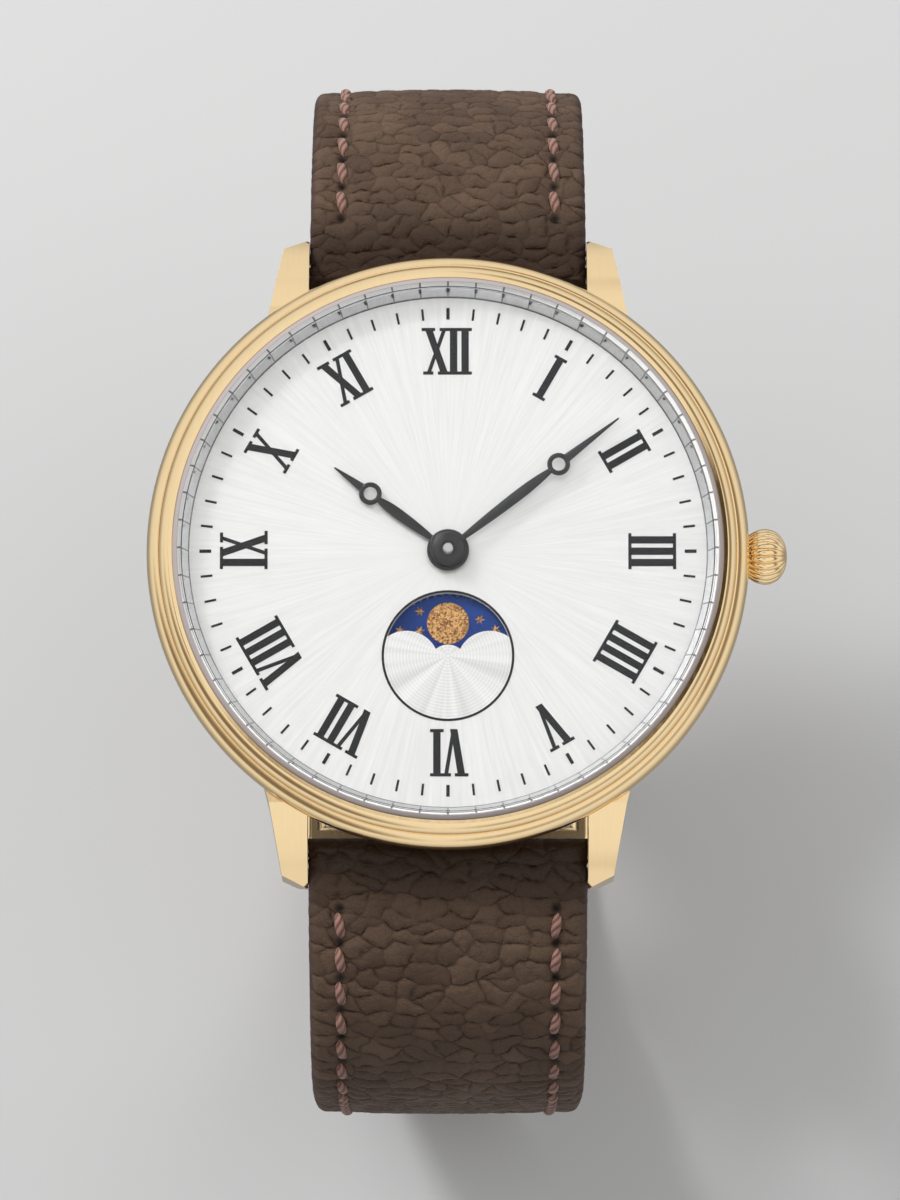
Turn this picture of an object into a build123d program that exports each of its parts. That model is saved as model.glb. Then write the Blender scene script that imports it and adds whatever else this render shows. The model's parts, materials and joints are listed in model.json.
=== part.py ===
from build123d import *
import os
from math import atan2, cos, degrees, hypot, radians, sin

os.makedirs("parts", exist_ok=True)

# Moon phase watch, in millimetres.
# The origin is the centre of the case back's outer face, +Z leaves the dial,
# +Y points to 12 o'clock and +X to the crown.

# Clearances and overruns used by every piece
running_gap = 0.04
seat_gap = 0.02
cut_over = 1.0

# Case middle and lugs
case_d = 38.8
case_wall_h = 4.1
case_wall_t = 3.05
bezel_overhang = 0.4
case_flank_h = 2.7
case_waist_h = 0.7
case_waist_w = 0.6
case_ledge_w = 1.05
back_t = 0.9
back_margin = 0.05
lug_gap = 18.0
lug_length = 1.9
lug_tip_set_back = 0.74
lug_tip_w = 1.65
lug_base_w = 2.46
lug_root_depth = 6.4
lug_tip_z = 1.6
lug_foot_z = -0.3
lug_foot_slant = 0.25
lug_arch = 0.42
lug_edge_r = 0.12

# Spring bars between the lugs
bar_offset = 0.3
bar_height = 1.25
bar_r = 0.75
bar_tip_r = 0.42
bar_tip_length = 0.8
bar_end_gap = 0.1

# Case back
back_rim_h = 1.0
back_rim_t = 0.6
back_gasket_h = 0.4
back_edge = 0.35

# Dial and its openings
dial_t = 0.4
dial_bezel_gap = 0.07
dial_hole_r = 1.15
moon_window_drop = 6.8
moon_window_r = 4.08
moon_ring_w = 0.155
moon_ring_gap = 0.02
hump_r = 2.1
hump_x = 2.67
hump_drop = 0.48
middle_hump_r = 1.2
foot_r = 0.4
foot_length = 1.4
foot_circle_r = 12.0
foot_directions = (55.0, 235.0)

# Printing on the dial
print_t = 0.03
tick_inner_r = 15.2
tick_outer_r = 15.93
hour_tick_w = 0.19
minute_tick_w = 0.12
numeral_inner_r = 11.6
numeral_h = 3.0
stem_w = 0.41
hairline_w = 0.19
serif_h = 0.14
serif_out = 0.2
stroke_pitch = 0.74
vee_w = 1.42
ex_w = 1.46

# Bezel, inner flange ring, crystal and gasket
bezel_h = 2.0
crystal_ledge_w = 0.45
crystal_seat_h = 1.5
gasket_t = 0.12
inner_ring_w = 0.87
inner_ring_rise = 0.1
groove_w = 0.08
groove_depth = 0.6
outer_ring_foot = 0.12
crystal_edge_h = 0.65
crystal_bevel = 0.27
crystal_rise = 0.5
crystal_inner_rise = 0.5
flange_foot_w = 0.45

# Hands
hour_hand_lift = 0.45
minute_hand_lift = 0.8
hand_t = 0.12
minute_length = 13.9
minute_angle = 52.1
minute_eye = 9.0
minute_hub_r = 1.1
hour_length = 9.06
hour_angle = 306.4
hour_eye = 6.19
hour_hub_r = 1.35
eye_r = 0.735
eye_hole_r = 0.43
leaf_w = 0.69
leaf_neck_w = 0.3
tip_base_w = 0.58
tip_w = 0.1
hub_h = 0.3
pin_r = 0.3
pin_rise = 0.12

# Movement: main plate, ring and bridge
movement_r = 13.0
plate_drop = 0.95
plate_t = 0.85
ring_drop = 0.02
train_room = 1.55
bridge_t = 0.35
pillar_r = 0.9
screw_r = 0.35
screw_head_r = 0.7
screw_head_h = 0.3
slot_w = 0.15
slot_depth = 0.12
bridge_margin_r = 1.2
bridge_places_share = ((0.32, -0.22), (-0.42, -0.154), (0.046, 0.354))
board_places_share = ((0.54, 0.54),)
pivot_r = 0.12
pivot_gap = 0.03

# Train: wheels between the bridge and the plate
centre_teeth = 72
centre_module = 0.09
intermediate_pinion_teeth = 8
intermediate_teeth = 60
intermediate_module = 0.1
rotor_teeth = 6
wheel_t = 0.2
thin_wheel_t = 0.15
arbor_r = 0.28
small_arbor_r = 0.2
intermediate_direction = 250.0
rotor_direction = 300.0
centre_wheel_drop = 0.9
intermediate_drop = 0.43
rotor_magnet_r = 0.6
rotor_magnet_h = 0.45
rotor_hole_r = 0.85

# Motion works under the dial
cannon_teeth = 12
minute_wheel_teeth = 36
minute_pinion_teeth = 10
hour_teeth = 40
day_teeth = 80
moon_teeth = 59
cannon_module = 0.125
hour_module = 0.12
motion_t = 0.18
motion_gap = 0.04
minute_wheel_direction = 20.0
day_direction = 205.0
cannon_r = 0.72
pipe_wall = 0.17
post_r = 0.26
big_post_r = 0.4
finger_w = 0.3
finger_gap = 0.03
hub_r_share = 0.22

# Moon disc: two moons, with stars between them
moon_disc_r = 4.72
moon_tooth_depth = 0.28
moon_disc_t = 0.18
moon_disc_gap = 0.09
moon_r = 1.35
moon_orbit_r = 2.7
moon_angle = 90.0
star_r = 0.31
star_inner_share = 0.42
star_points = 6
star_places_share = (
    (0.83, 117.5), (0.805, 144.5), (0.605, 129.5), (0.757, 55.5), (0.808, 37), (0.62, 12), (0.62, 168),
)

# Tooth form, as shares of the module and of the tooth pitch
tooth_tip_share = 0.9
tooth_root_share = 1.15
tooth_root_width_share = 0.30
tooth_tip_width_share = 0.12

# Motor, board and battery
battery_d = 7.9
battery_h = 2.1
battery_gap = 0.02
battery_edge = 0.25
battery_distance = 8.6
battery_direction = 143.5
clamp_t = 0.15
clamp_w = 1.8
stator_l = 14.0
stator_w = 2.6
stator_t = 0.4
stator_drop = 0.7
stator_post_r = 0.6
coil_l = 8.6
coil_r = 0.8
coil_edge_r = 0.2
core_w = 0.9
core_t = 0.35
coil_distance = 9.5
board_t = 0.2
board_r = 12.4
board_inner_r = 6.2
board_start = 26.0
board_sweep = 70.0
can_r = 0.72
can_l = 5.6
can_angle = 60.0
can_distance = 8.9

# Stem, crown and setting parts
crown_length = 2.65
crown_gap = 0.15
crown_r = 1.715
crown_collar_r = 1.38
crown_collar_w = 0.42
crown_widest = 1.3
crown_end_r = 0.62
crown_bore_depth = 1.5
crown_bore_gap = 0.1
crown_hold = 0.5
flutes = 22
flute_r = 0.15
crown_drop = 1.8
tube_r = 0.85
tube_reach = 1.1
tube_inner_x = 14.6
stem_r = 0.5
stem_pilot_r = 0.3
stem_square = 0.7
stem_pilot_x = 3.9
stem_square_x = 5.6
stem_round_x = 8.2
stem_groove_x = 9.3
stem_groove_w = 0.7
stem_groove_r = 0.36
crown_gasket_w = 0.5
pinion_x = 6.3
pinion_l = 1.2
pinion_r = 0.85
pinion_teeth = 14
pinion_tooth_share = 0.8
keyless_slot_w = 2.6
keyless_slot_x = 5.4
pull_travel = 1.2
lever_arm = 2.4
lever_pin_r = 0.22
lever_pin_y = 0.68
lever_hub_r = 0.7
lever_tip_r = 0.36
lever_t = 0.22
jumper_w = 0.5
jumper_l = 4.2
jumper_t = 0.2

# Strap: lengths along its middle line, from the spring bar outwards
strap_side_gap = 0.08
strap_t = 3.5
strap_thin_t = 2.3
strap_thin_run = 46.0
strap_end_w = 16.0
strap_crown = 0.35
strap_flat_crown = 0.02
strap_edge_r = 0.75
lining_t = 0.6
lining_gap = 0.02
lining_inset = 0.1
lining_start = 2.3
tunnel_gap = 0.08
first_run = 1.0
upper_bend_12 = 11.65
lower_bend_12 = 22.0
lower_turn_12 = 100.0
length_12 = 70.0
upper_bend_6 = 11.4
middle_bend_6 = 100.0
middle_turn_6 = 18.0
lower_bend_6 = 20.0
length_6 = 110.0
tip_length = 9.0
tip_end_w = 3.0
hole_r = 0.9
hole_pitch = 6.5
hole_first = 24.0
hole_count = 7
section_step = 5.2

# Pin buckle and keepers
buckle_bar_r = 0.6
buckle_pivot_r = 0.42
buckle_bar_gap = 0.06
buckle_inner_gap = 0.25
buckle_arm_w = 1.5
buckle_reach = 9.0
buckle_cross_w = 1.9
buckle_back = 1.2
buckle_t = 2.0
buckle_edge_r = 0.55
tongue_w = 1.7
tongue_eye_r = 1.1
tongue_t = 0.85
tongue_over = 0.35
tongue_slot_gap = 0.35
tongue_slot_run = 3.0
keeper_w = 5.0
keeper_t = 1.0
keeper_side_gap = 0.3
keeper_room = 2.6
keeper_inner_gap = 0.5
keeper_edge_r = 0.3
fixed_keeper_run = 6.4
free_keeper_back = 18.5

# Heights that follow from the sizes above
case_r = case_d / 2
dial_seat_z = back_t + case_wall_h
dial_z = dial_seat_z + dial_t
stem_z = dial_z - crown_drop
plate_top_z = dial_seat_z - plate_drop
plate_z = plate_top_z - plate_t
bridge_z = plate_z - train_room
bezel_top_z = dial_seat_z + bezel_h
crystal_seat_z = dial_seat_z + crystal_seat_h

# Radii that follow from the sizes above
case_flank_r = case_r - bezel_overhang
case_bore_r = case_flank_r - case_wall_t
dial_r = case_bore_r + case_ledge_w
back_r = case_bore_r + case_ledge_w
case_base_r = back_r + back_margin
bezel_bore_r = dial_r + dial_bezel_gap
crystal_r = bezel_bore_r + crystal_ledge_w
bezel_mouth_r = crystal_r + gasket_t + 2 * seat_gap

# Places of the lugs and their bars
lug_inner_x = lug_gap / 2
lug_tip_y = case_r + lug_length
bar_y = case_r + bar_offset
bar_z = lug_foot_z + bar_height


def polar(radius, direction):
    """Point on the dial plane at a radius and a direction in degrees from +X."""
    return (radius * cos(radians(direction)), radius * sin(radians(direction)))


def moved(start, radius, direction):
    """Point a radius away from start, in a direction in degrees from +X."""
    step = polar(radius, direction)
    return (start[0] + step[0], start[1] + step[1])


def clock_plane(height, angle):
    """Plane on the dial whose own +Y points at an angle clockwise from 12 o'clock."""
    turn = radians(angle)
    return Plane(origin=(0, 0, height), x_dir=(cos(turn), -sin(turn), 0), z_dir=(0, 0, 1))


def stem_plane(place_x):
    """Plane across the stem at place_x, with +X of the watch as its normal."""
    return Plane(origin=(place_x, 0, stem_z), x_dir=(0, 1, 0), z_dir=(1, 0, 0))


def ring(inner_r, outer_r, low_z, high_z):
    """Plain ring about the watch's axis, made in the part builder that is open."""
    with BuildSketch(Plane.XY.offset(low_z)) as outline:
        Circle(outer_r)
        Circle(inner_r, mode=Mode.SUBTRACT)
    extrude(outline.sketch, amount=high_z - low_z)


def disc(place, radius, low_z, high_z, mode=Mode.ADD):
    """Upright cylinder at a place on the plate."""
    with BuildSketch(Plane.XY.offset(low_z)) as outline:
        with Locations(place):
            Circle(radius)
    extrude(outline.sketch, amount=high_z - low_z, mode=mode)


def pitch_r(teeth, module):
    return teeth * module / 2


def gear_outline(teeth, module, turn):
    """Corners of a wheel with straight-sided teeth, one of them centred on turn degrees."""
    root = pitch_r(teeth, module) - tooth_root_share * module
    tip = pitch_r(teeth, module) + tooth_tip_share * module
    tooth = (
        (root, -tooth_root_width_share), (tip, -tooth_tip_width_share),
        (tip, tooth_tip_width_share), (root, tooth_root_width_share),
    )
    pitch = 360 / teeth
    return [
        polar(radius, turn + pitch * (count + share))
        for count in range(teeth) for radius, share in tooth
    ]


def gear(teeth, module, turn, place, low_z, high_z):
    """Toothed disc at a place, made in the part builder that is open."""
    with BuildSketch(Plane.XY.offset(low_z)) as outline:
        with Locations(place):
            Polygon(*gear_outline(teeth, module, turn), align=None)
    extrude(outline.sketch, amount=high_z - low_z)


def meshed_turn(teeth, turn, partner_teeth, direction):
    """Turn of a partner wheel, in a direction from this one, whose gap takes the facing tooth."""
    lead = (turn - direction) * teeth / partner_teeth
    return direction + 180 + 180 / partner_teeth - lead


# Lug: a side outline across its width, cut to the outline seen from above
lug_root_y = case_r - lug_root_depth
lug_top_start = (case_r - lug_root_depth / 2, dial_seat_z)
lug_tip_top = (lug_tip_y, lug_tip_z)
lug_tip_low = (lug_tip_y - lug_foot_slant, lug_foot_z)
lug_mid_y = (lug_top_start[0] + lug_tip_top[0]) / 2
lug_mid_z = (lug_top_start[1] + lug_tip_top[1]) / 2
lug_base_y = case_r - lug_root_depth / 2 - case_waist_h
with BuildPart() as lug:
    with BuildSketch(Plane.YZ.offset(lug_inner_x)):
        with BuildLine():
            Line((lug_root_y, back_t), (lug_root_y, dial_seat_z))
            Line((lug_root_y, dial_seat_z), lug_top_start)
            ThreePointArc(lug_top_start, (lug_mid_y + lug_arch / 2, lug_mid_z + lug_arch), lug_tip_top)
            Line(lug_tip_top, lug_tip_low)
            ThreePointArc(
                lug_tip_low,
                ((lug_tip_low[0] + lug_base_y) / 2, (lug_foot_z + back_t) / 2 - lug_arch / 4),
                (lug_base_y, back_t),
            )
            Line((lug_base_y, back_t), (lug_root_y, back_t))
        make_face()
    extrude(amount=lug_base_w + lug_tip_w)
    with BuildSketch(Plane.XY.offset(lug_foot_z - cut_over)):
        with BuildLine():
            Polyline(
                (lug_inner_x, lug_root_y),
                (lug_inner_x, lug_tip_y),
                (lug_inner_x + lug_tip_w, lug_tip_y - lug_tip_set_back),
                (lug_inner_x + lug_base_w, lug_base_y + case_waist_h),
                (lug_inner_x + lug_base_w + lug_tip_w / 2, lug_root_y),
                close=True,
            )
        make_face()
    extrude(amount=dial_seat_z - lug_foot_z + 2 * cut_over, mode=Mode.INTERSECT)
    fillet(lug.faces().sort_by(Axis.Y)[-1].edges(), lug_edge_r)

# Case middle: a turned ring with its four lugs
with BuildPart() as case_middle:
    with BuildSketch(Plane.XZ):
        with BuildLine():
            Polyline(
                (case_bore_r, back_t),
                (case_base_r, back_t),
                (case_base_r + case_waist_w, back_t + case_waist_h),
                (case_flank_r, back_t + case_flank_h),
                (case_flank_r, dial_seat_z),
                (case_bore_r, dial_seat_z),
                close=True,
            )
        make_face()
    revolve(axis=Axis.Z)
    for quarter in (lug.part, lug.part.mirror(Plane.YZ)):
        add(quarter)
        add(quarter.mirror(Plane.XZ))
    disc((0, 0), case_bore_r, lug_foot_z, dial_seat_z + cut_over, Mode.SUBTRACT)
    disc((0, 0), case_base_r, lug_foot_z, back_t, Mode.SUBTRACT)
    for side in (-1, 1):
        with BuildSketch(Plane.YZ.offset(-lug_inner_x - bar_tip_length)):
            with Locations((side * bar_y, bar_z)):
                Circle(bar_tip_r + seat_gap)
        extrude(amount=lug_gap + 2 * bar_tip_length, mode=Mode.SUBTRACT)
    with BuildSketch(stem_plane(0)):
        Circle(tube_r + seat_gap)
    extrude(amount=case_r + cut_over, mode=Mode.SUBTRACT)
case_middle.part.label = "case_middle"
export_step(case_middle.part, "parts/case_middle.step")

# Spring bars: a thicker middle between the lugs, and thin tips inside them
for side, hour in ((1, 12), (-1, 6)):
    with BuildPart() as spring_bar:
        for radius, half_length in (
            (bar_r, lug_inner_x - bar_end_gap),
            (bar_tip_r, lug_inner_x + bar_tip_length - bar_end_gap),
        ):
            with BuildSketch(Plane.YZ.offset(-half_length)):
                with Locations((side * bar_y, bar_z)):
                    Circle(radius)
            extrude(amount=2 * half_length)
    spring_bar.part.label = f"spring_bar_{hour}"
    export_step(spring_bar.part, f"parts/spring_bar_{hour}.step")

# Case back: a flat cover with a rim that snaps into the case
with BuildPart() as case_back:
    disc((0, 0), back_r, 0, back_t)
    chamfer(case_back.edges().sort_by(Axis.Z)[0], back_edge)
    rim_r = case_bore_r - seat_gap
    ring(rim_r - back_rim_t, rim_r, back_t, back_t + back_rim_h)
case_back.part.label = "case_back"
export_step(case_back.part, "parts/case_back.step")

back_gasket_z = back_t + back_rim_h
with BuildPart() as back_gasket:
    ring(rim_r - back_rim_t, rim_r, back_gasket_z, back_gasket_z + back_gasket_h)
back_gasket.part.label = "back_gasket"
export_step(back_gasket.part, "parts/back_gasket.step")

# Bezel: two convex rings with a groove between them, on the case middle
groove_r = bezel_mouth_r + inner_ring_w
groove_z = bezel_top_z - groove_depth
outer_ring_r = groove_r + groove_w
outer_ring_mid_r = (outer_ring_r + case_r) / 2 + outer_ring_foot
outer_ring_mid_z = (groove_z + dial_seat_z) / 2 + 3 * outer_ring_foot
with BuildPart() as bezel:
    with BuildSketch(Plane.XZ):
        with BuildLine():
            Polyline(
                (groove_r, groove_z), (outer_ring_r, groove_z),
            )
            ThreePointArc(
                (outer_ring_r, groove_z),
                (outer_ring_mid_r, outer_ring_mid_z),
                (case_r - outer_ring_foot / 2, dial_seat_z + outer_ring_foot),
            )
            Polyline(
                (case_r - outer_ring_foot / 2, dial_seat_z + outer_ring_foot),
                (case_r - 2 * outer_ring_foot, dial_seat_z),
                (bezel_bore_r, dial_seat_z),
                (bezel_bore_r, crystal_seat_z),
                (bezel_mouth_r, crystal_seat_z),
                (bezel_mouth_r, bezel_top_z),
            )
            ThreePointArc(
                (bezel_mouth_r, bezel_top_z),
                ((bezel_mouth_r + groove_r) / 2, bezel_top_z + inner_ring_rise - groove_w / 2),
                (groove_r, groove_z),
            )
        make_face()
    revolve(axis=Axis.Z)
bezel.part.label = "bezel"
export_step(bezel.part, "parts/bezel.step")

# Flange ring: the polished cone between the dial and the crystal
with BuildPart() as flange_ring:
    flange_r = bezel_bore_r - seat_gap
    flange_top_z = crystal_seat_z - seat_gap
    with BuildSketch(Plane.XZ):
        with BuildLine():
            Polyline(
                (flange_r - flange_foot_w, dial_z),
                (flange_r, dial_z),
                (flange_r, flange_top_z),
                (flange_r - seat_gap, flange_top_z),
                close=True,
            )
        make_face()
    revolve(axis=Axis.Z)
flange_ring.part.label = "flange_ring"
export_step(flange_ring.part, "parts/flange_ring.step")

# Crystal: domed above and below, with a bevel round its rim
crystal_rim_z = crystal_seat_z + crystal_edge_h
crystal_bevel_r = crystal_r - crystal_bevel
crystal_bevel_z = crystal_rim_z + crystal_bevel
crystal_under_r = bezel_bore_r - flange_foot_w
with BuildPart() as crystal:
    with BuildSketch(Plane.XZ):
        with BuildLine():
            Line((0, crystal_seat_z + crystal_inner_rise), (0, crystal_bevel_z + crystal_rise))
            TangentArc(
                (0, crystal_bevel_z + crystal_rise), (crystal_bevel_r, crystal_bevel_z), tangent=(1, 0)
            )
            Polyline(
                (crystal_bevel_r, crystal_bevel_z),
                (crystal_r, crystal_rim_z),
                (crystal_r, crystal_seat_z),
                (crystal_under_r, crystal_seat_z),
            )
            TangentArc(
                (0, crystal_seat_z + crystal_inner_rise), (crystal_under_r, crystal_seat_z), tangent=(1, 0)
            )
        make_face()
    revolve(axis=Axis.Z)
crystal.part.label = "crystal"
export_step(crystal.part, "parts/crystal.step")

with BuildPart() as crystal_gasket:
    ring(crystal_r + seat_gap, crystal_r + seat_gap + gasket_t, crystal_seat_z, bezel_top_z - seat_gap)
crystal_gasket.part.label = "crystal_gasket"
export_step(crystal_gasket.part, "parts/crystal_gasket.step")

# Dial: a round plate with the hole for the hands, the moon window and two feet
foot_places = [polar(foot_circle_r, direction) for direction in foot_directions]
with BuildPart() as dial:
    disc((0, 0), dial_r, dial_seat_z, dial_z)
    disc((0, 0), dial_hole_r, dial_seat_z - cut_over, dial_z + cut_over, Mode.SUBTRACT)
    with BuildSketch(Plane.XY.offset(dial_seat_z - cut_over)):
        with Locations((0, -moon_window_drop)):
            Circle(moon_window_r)
            with Locations((0, -hump_drop - moon_window_r)):
                Rectangle(2 * moon_window_r, 2 * moon_window_r, mode=Mode.SUBTRACT)
            with Locations((-hump_x, -hump_drop), (hump_x, -hump_drop)):
                Circle(hump_r, mode=Mode.SUBTRACT)
            with Locations((0, -hump_drop)):
                Circle(middle_hump_r, mode=Mode.SUBTRACT)
    extrude(amount=dial_t + 2 * cut_over, mode=Mode.SUBTRACT)
    for place in foot_places:
        disc(place, foot_r, dial_seat_z - foot_length, dial_seat_z)
dial.part.label = "dial"
export_step(dial.part, "parts/dial.step")

# Minute track: a short bar for each minute, wider on the hours
with BuildPart() as minute_track:
    tick_mid_r = (tick_inner_r + tick_outer_r) / 2
    for minute in range(60):
        tick_w = minute_tick_w if minute % 5 else hour_tick_w
        with BuildSketch(clock_plane(dial_z, 6 * minute)):
            with Locations((0, tick_mid_r)):
                Rectangle(tick_w, tick_outer_r - tick_inner_r)
        extrude(amount=print_t)
minute_track.part.label = "minute_track"
export_step(minute_track.part, "parts/minute_track.step")


def serif(middle_x, width):
    """Thin lines across the foot and the head of a stroke."""
    with Locations((middle_x, serif_h / 2), (middle_x, numeral_h - serif_h / 2)):
        Rectangle(width, serif_h)


def stroke(start_x, end_x, width):
    """Straight stroke from the foot of a numeral at start_x to its head at end_x."""
    half = width / 2
    Polygon(
        (start_x - half, 0), (start_x + half, 0),
        (end_x + half, numeral_h), (end_x - half, numeral_h), align=None,
    )


def glyph_i(left):
    middle = left + stroke_pitch / 2
    stroke(middle, middle, stem_w)
    serif(middle, stem_w + 2 * serif_out)
    return left + stroke_pitch


def glyph_v(left):
    middle = left + vee_w / 2
    spread = (vee_w - stem_w) / 2
    stroke(middle, middle - spread, stem_w)
    stroke(middle, middle + spread, hairline_w)
    for head_x, width in ((middle - spread, stem_w), (middle + spread, hairline_w)):
        with Locations((head_x, numeral_h - serif_h / 2)):
            Rectangle(width + 2 * serif_out, serif_h)
    return left + vee_w


def glyph_x(left):
    middle = left + ex_w / 2
    spread = (ex_w - stem_w) / 2
    stroke(middle + spread, middle - spread, stem_w)
    stroke(middle - spread, middle + spread, hairline_w)
    for head_x, foot_x, width in ((-spread, spread, stem_w), (spread, -spread, hairline_w)):
        with Locations((middle + head_x, numeral_h - serif_h / 2), (middle + foot_x, serif_h / 2)):
            Rectangle(width + 2 * serif_out, serif_h)
    return left + ex_w


numerals = ("XII", "I", "II", "III", "IIII", "V", "VI", "VII", "VIII", "IX", "X", "XI")
glyphs = {"I": (glyph_i, stroke_pitch), "V": (glyph_v, vee_w), "X": (glyph_x, ex_w)}

# Roman numerals, with their heads to the rim
with BuildPart() as dial_numerals:
    for hour, numeral in enumerate(numerals):
        left = -sum(glyphs[letter][1] for letter in numeral) / 2
        with BuildSketch(clock_plane(dial_z, 30 * hour)):
            with Locations((0, numeral_inner_r)):
                for letter in numeral:
                    left = glyphs[letter][0](left)
        extrude(amount=print_t)
dial_numerals.part.label = "dial_numerals"
export_step(dial_numerals.part, "parts/dial_numerals.step")

# Black ring round the moon window
with BuildPart() as moon_window_ring:
    with BuildSketch(Plane.XY.offset(dial_z)):
        with Locations((0, -moon_window_drop)):
            Circle(moon_window_r + moon_ring_gap + moon_ring_w)
            Circle(moon_window_r + moon_ring_gap, mode=Mode.SUBTRACT)
    extrude(amount=print_t)
moon_window_ring.part.label = "moon_window_ring"
export_step(moon_window_ring.part, "parts/moon_window_ring.step")

# Train: places of the wheels and the turns that set their teeth in mesh
centre_place = (0, 0)
intermediate_distance = pitch_r(centre_teeth + intermediate_pinion_teeth, centre_module)
rotor_distance = pitch_r(intermediate_teeth + rotor_teeth, intermediate_module)
intermediate_place = moved(centre_place, intermediate_distance, intermediate_direction)
rotor_place = moved(intermediate_place, rotor_distance, rotor_direction)
centre_turn = intermediate_direction
intermediate_pinion_turn = meshed_turn(
    centre_teeth, centre_turn, intermediate_pinion_teeth, intermediate_direction
)
rotor_turn = meshed_turn(intermediate_teeth, rotor_direction, rotor_teeth, rotor_direction)
centre_wheel_z = plate_z - centre_wheel_drop - wheel_t
intermediate_z = plate_z - intermediate_drop - thin_wheel_t

# Motion works: places and turns of the wheels under the dial
motion_z = plate_top_z + motion_gap
hour_wheel_z = motion_z + motion_t + motion_gap
moon_disc_z = hour_wheel_z + motion_t + moon_disc_gap
minute_wheel_distance = pitch_r(cannon_teeth + minute_wheel_teeth, cannon_module)
minute_wheel_place = moved(centre_place, minute_wheel_distance, minute_wheel_direction)
day_distance = pitch_r(hour_teeth + day_teeth, hour_module)
day_place = moved(centre_place, day_distance, day_direction)
moon_place = (0, -moon_window_drop - hump_drop)
cannon_turn = minute_wheel_direction
minute_wheel_turn = meshed_turn(cannon_teeth, cannon_turn, minute_wheel_teeth, minute_wheel_direction)
hour_turn = minute_wheel_direction
minute_pinion_turn = meshed_turn(hour_teeth, hour_turn, minute_pinion_teeth, minute_wheel_direction)
day_turn = meshed_turn(hour_teeth, hour_turn, day_teeth, day_direction)

# Places of the bridge pillars, the board pillar and the stator posts
bridge_places = [(movement_r * share_x, movement_r * share_y) for share_x, share_y in bridge_places_share]
board_places = [(movement_r * share_x, movement_r * share_y) for share_x, share_y in board_places_share]
stator_end_x = stator_l / 2 - stator_post_r
stator_places = [(side * stator_end_x, rotor_place[1]) for side in (-1, 1)]
stator_z = plate_z - stator_drop - stator_t
setting_pivot = (stem_groove_x + pull_travel / 2, lever_pin_y + lever_arm)
jumper_place = (setting_pivot[0] - lever_hub_r - jumper_w, setting_pivot[1] + lever_hub_r)

# Movement ring: holds the movement in the case, with a way through for the stem
with BuildPart() as movement_ring:
    ring(movement_r + seat_gap, case_bore_r - seat_gap, back_gasket_z + back_gasket_h + ring_drop,
         dial_seat_z - ring_drop)
    with BuildSketch(stem_plane(0)):
        Circle(tube_r + running_gap)
    extrude(amount=case_bore_r, mode=Mode.SUBTRACT)
movement_ring.part.label = "movement_ring"
export_step(movement_ring.part, "parts/movement_ring.step")

# Main plate: carries the train below it and the motion works above it
with BuildPart() as main_plate:
    disc((0, 0), movement_r, plate_z, plate_top_z)
    for place in bridge_places + board_places:
        disc(place, pillar_r, bridge_z, plate_z)
        disc(place, screw_r + seat_gap, bridge_z - cut_over, plate_z + plate_t / 2, Mode.SUBTRACT)
    for place in stator_places:
        disc(place, stator_post_r, stator_z + stator_t, plate_z)
    for place in foot_places:
        disc(place, foot_r + running_gap, plate_z - cut_over, plate_top_z + cut_over, Mode.SUBTRACT)
    disc(centre_place, arbor_r + running_gap, plate_z - cut_over, plate_top_z + cut_over, Mode.SUBTRACT)
    for place in (intermediate_place, rotor_place):
        disc(place, pivot_r + pivot_gap, plate_z - cut_over, plate_top_z + cut_over, Mode.SUBTRACT)
    disc(minute_wheel_place, post_r, plate_top_z, hour_wheel_z + motion_t)
    disc(day_place, big_post_r, plate_top_z, hour_wheel_z + motion_t)
    disc(moon_place, big_post_r, plate_top_z, moon_disc_z + moon_disc_t)
    disc(setting_pivot, post_r, plate_top_z, plate_top_z + motion_gap + lever_t)
    slot_l = movement_r + cut_over - keyless_slot_x
    with BuildSketch(Plane.XY.offset(plate_z - cut_over)):
        with Locations((keyless_slot_x + slot_l / 2, 0)):
            Rectangle(slot_l, keyless_slot_w)
    extrude(amount=plate_t + 2 * cut_over, mode=Mode.SUBTRACT)
    with BuildSketch(stem_plane(stem_pilot_x - running_gap)):
        Circle(stem_pilot_r + pivot_gap)
    extrude(amount=keyless_slot_x, mode=Mode.SUBTRACT)
main_plate.part.label = "main_plate"
export_step(main_plate.part, "parts/main_plate.step")

# Train bridge: a thin plate over the wheels, on three pillars
bridge_low_z = bridge_z - bridge_t
with BuildPart() as train_bridge:
    with BuildSketch(Plane.XY.offset(bridge_low_z)):
        for place in bridge_places + [rotor_place]:
            with Locations(place):
                Circle(bridge_margin_r)
        make_hull()
    extrude(amount=bridge_t)
    for place in bridge_places:
        disc(place, screw_r + seat_gap, bridge_low_z - cut_over, bridge_z + cut_over, Mode.SUBTRACT)
    for place in (centre_place, intermediate_place, rotor_place):
        disc(place, pivot_r + pivot_gap, bridge_low_z - cut_over, bridge_z + cut_over, Mode.SUBTRACT)
train_bridge.part.label = "train_bridge"
export_step(train_bridge.part, "parts/train_bridge.step")


def slotted_screw(place, seat_z, shank_top_z):
    """Screw with its slotted head on a seat that faces the case back."""
    disc(place, screw_head_r, seat_z - screw_head_h, seat_z)
    disc(place, screw_r, seat_z, shank_top_z)
    with BuildSketch(Plane.XY.offset(seat_z - screw_head_h)) as slot:
        with Locations(place):
            Rectangle(2 * screw_head_r, slot_w)
    extrude(slot.sketch, amount=slot_depth, mode=Mode.SUBTRACT)


with BuildPart() as bridge_screws:
    for place in bridge_places:
        slotted_screw(place, bridge_low_z, plate_z)
bridge_screws.part.label = "bridge_screws"
export_step(bridge_screws.part, "parts/bridge_screws.step")

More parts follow.
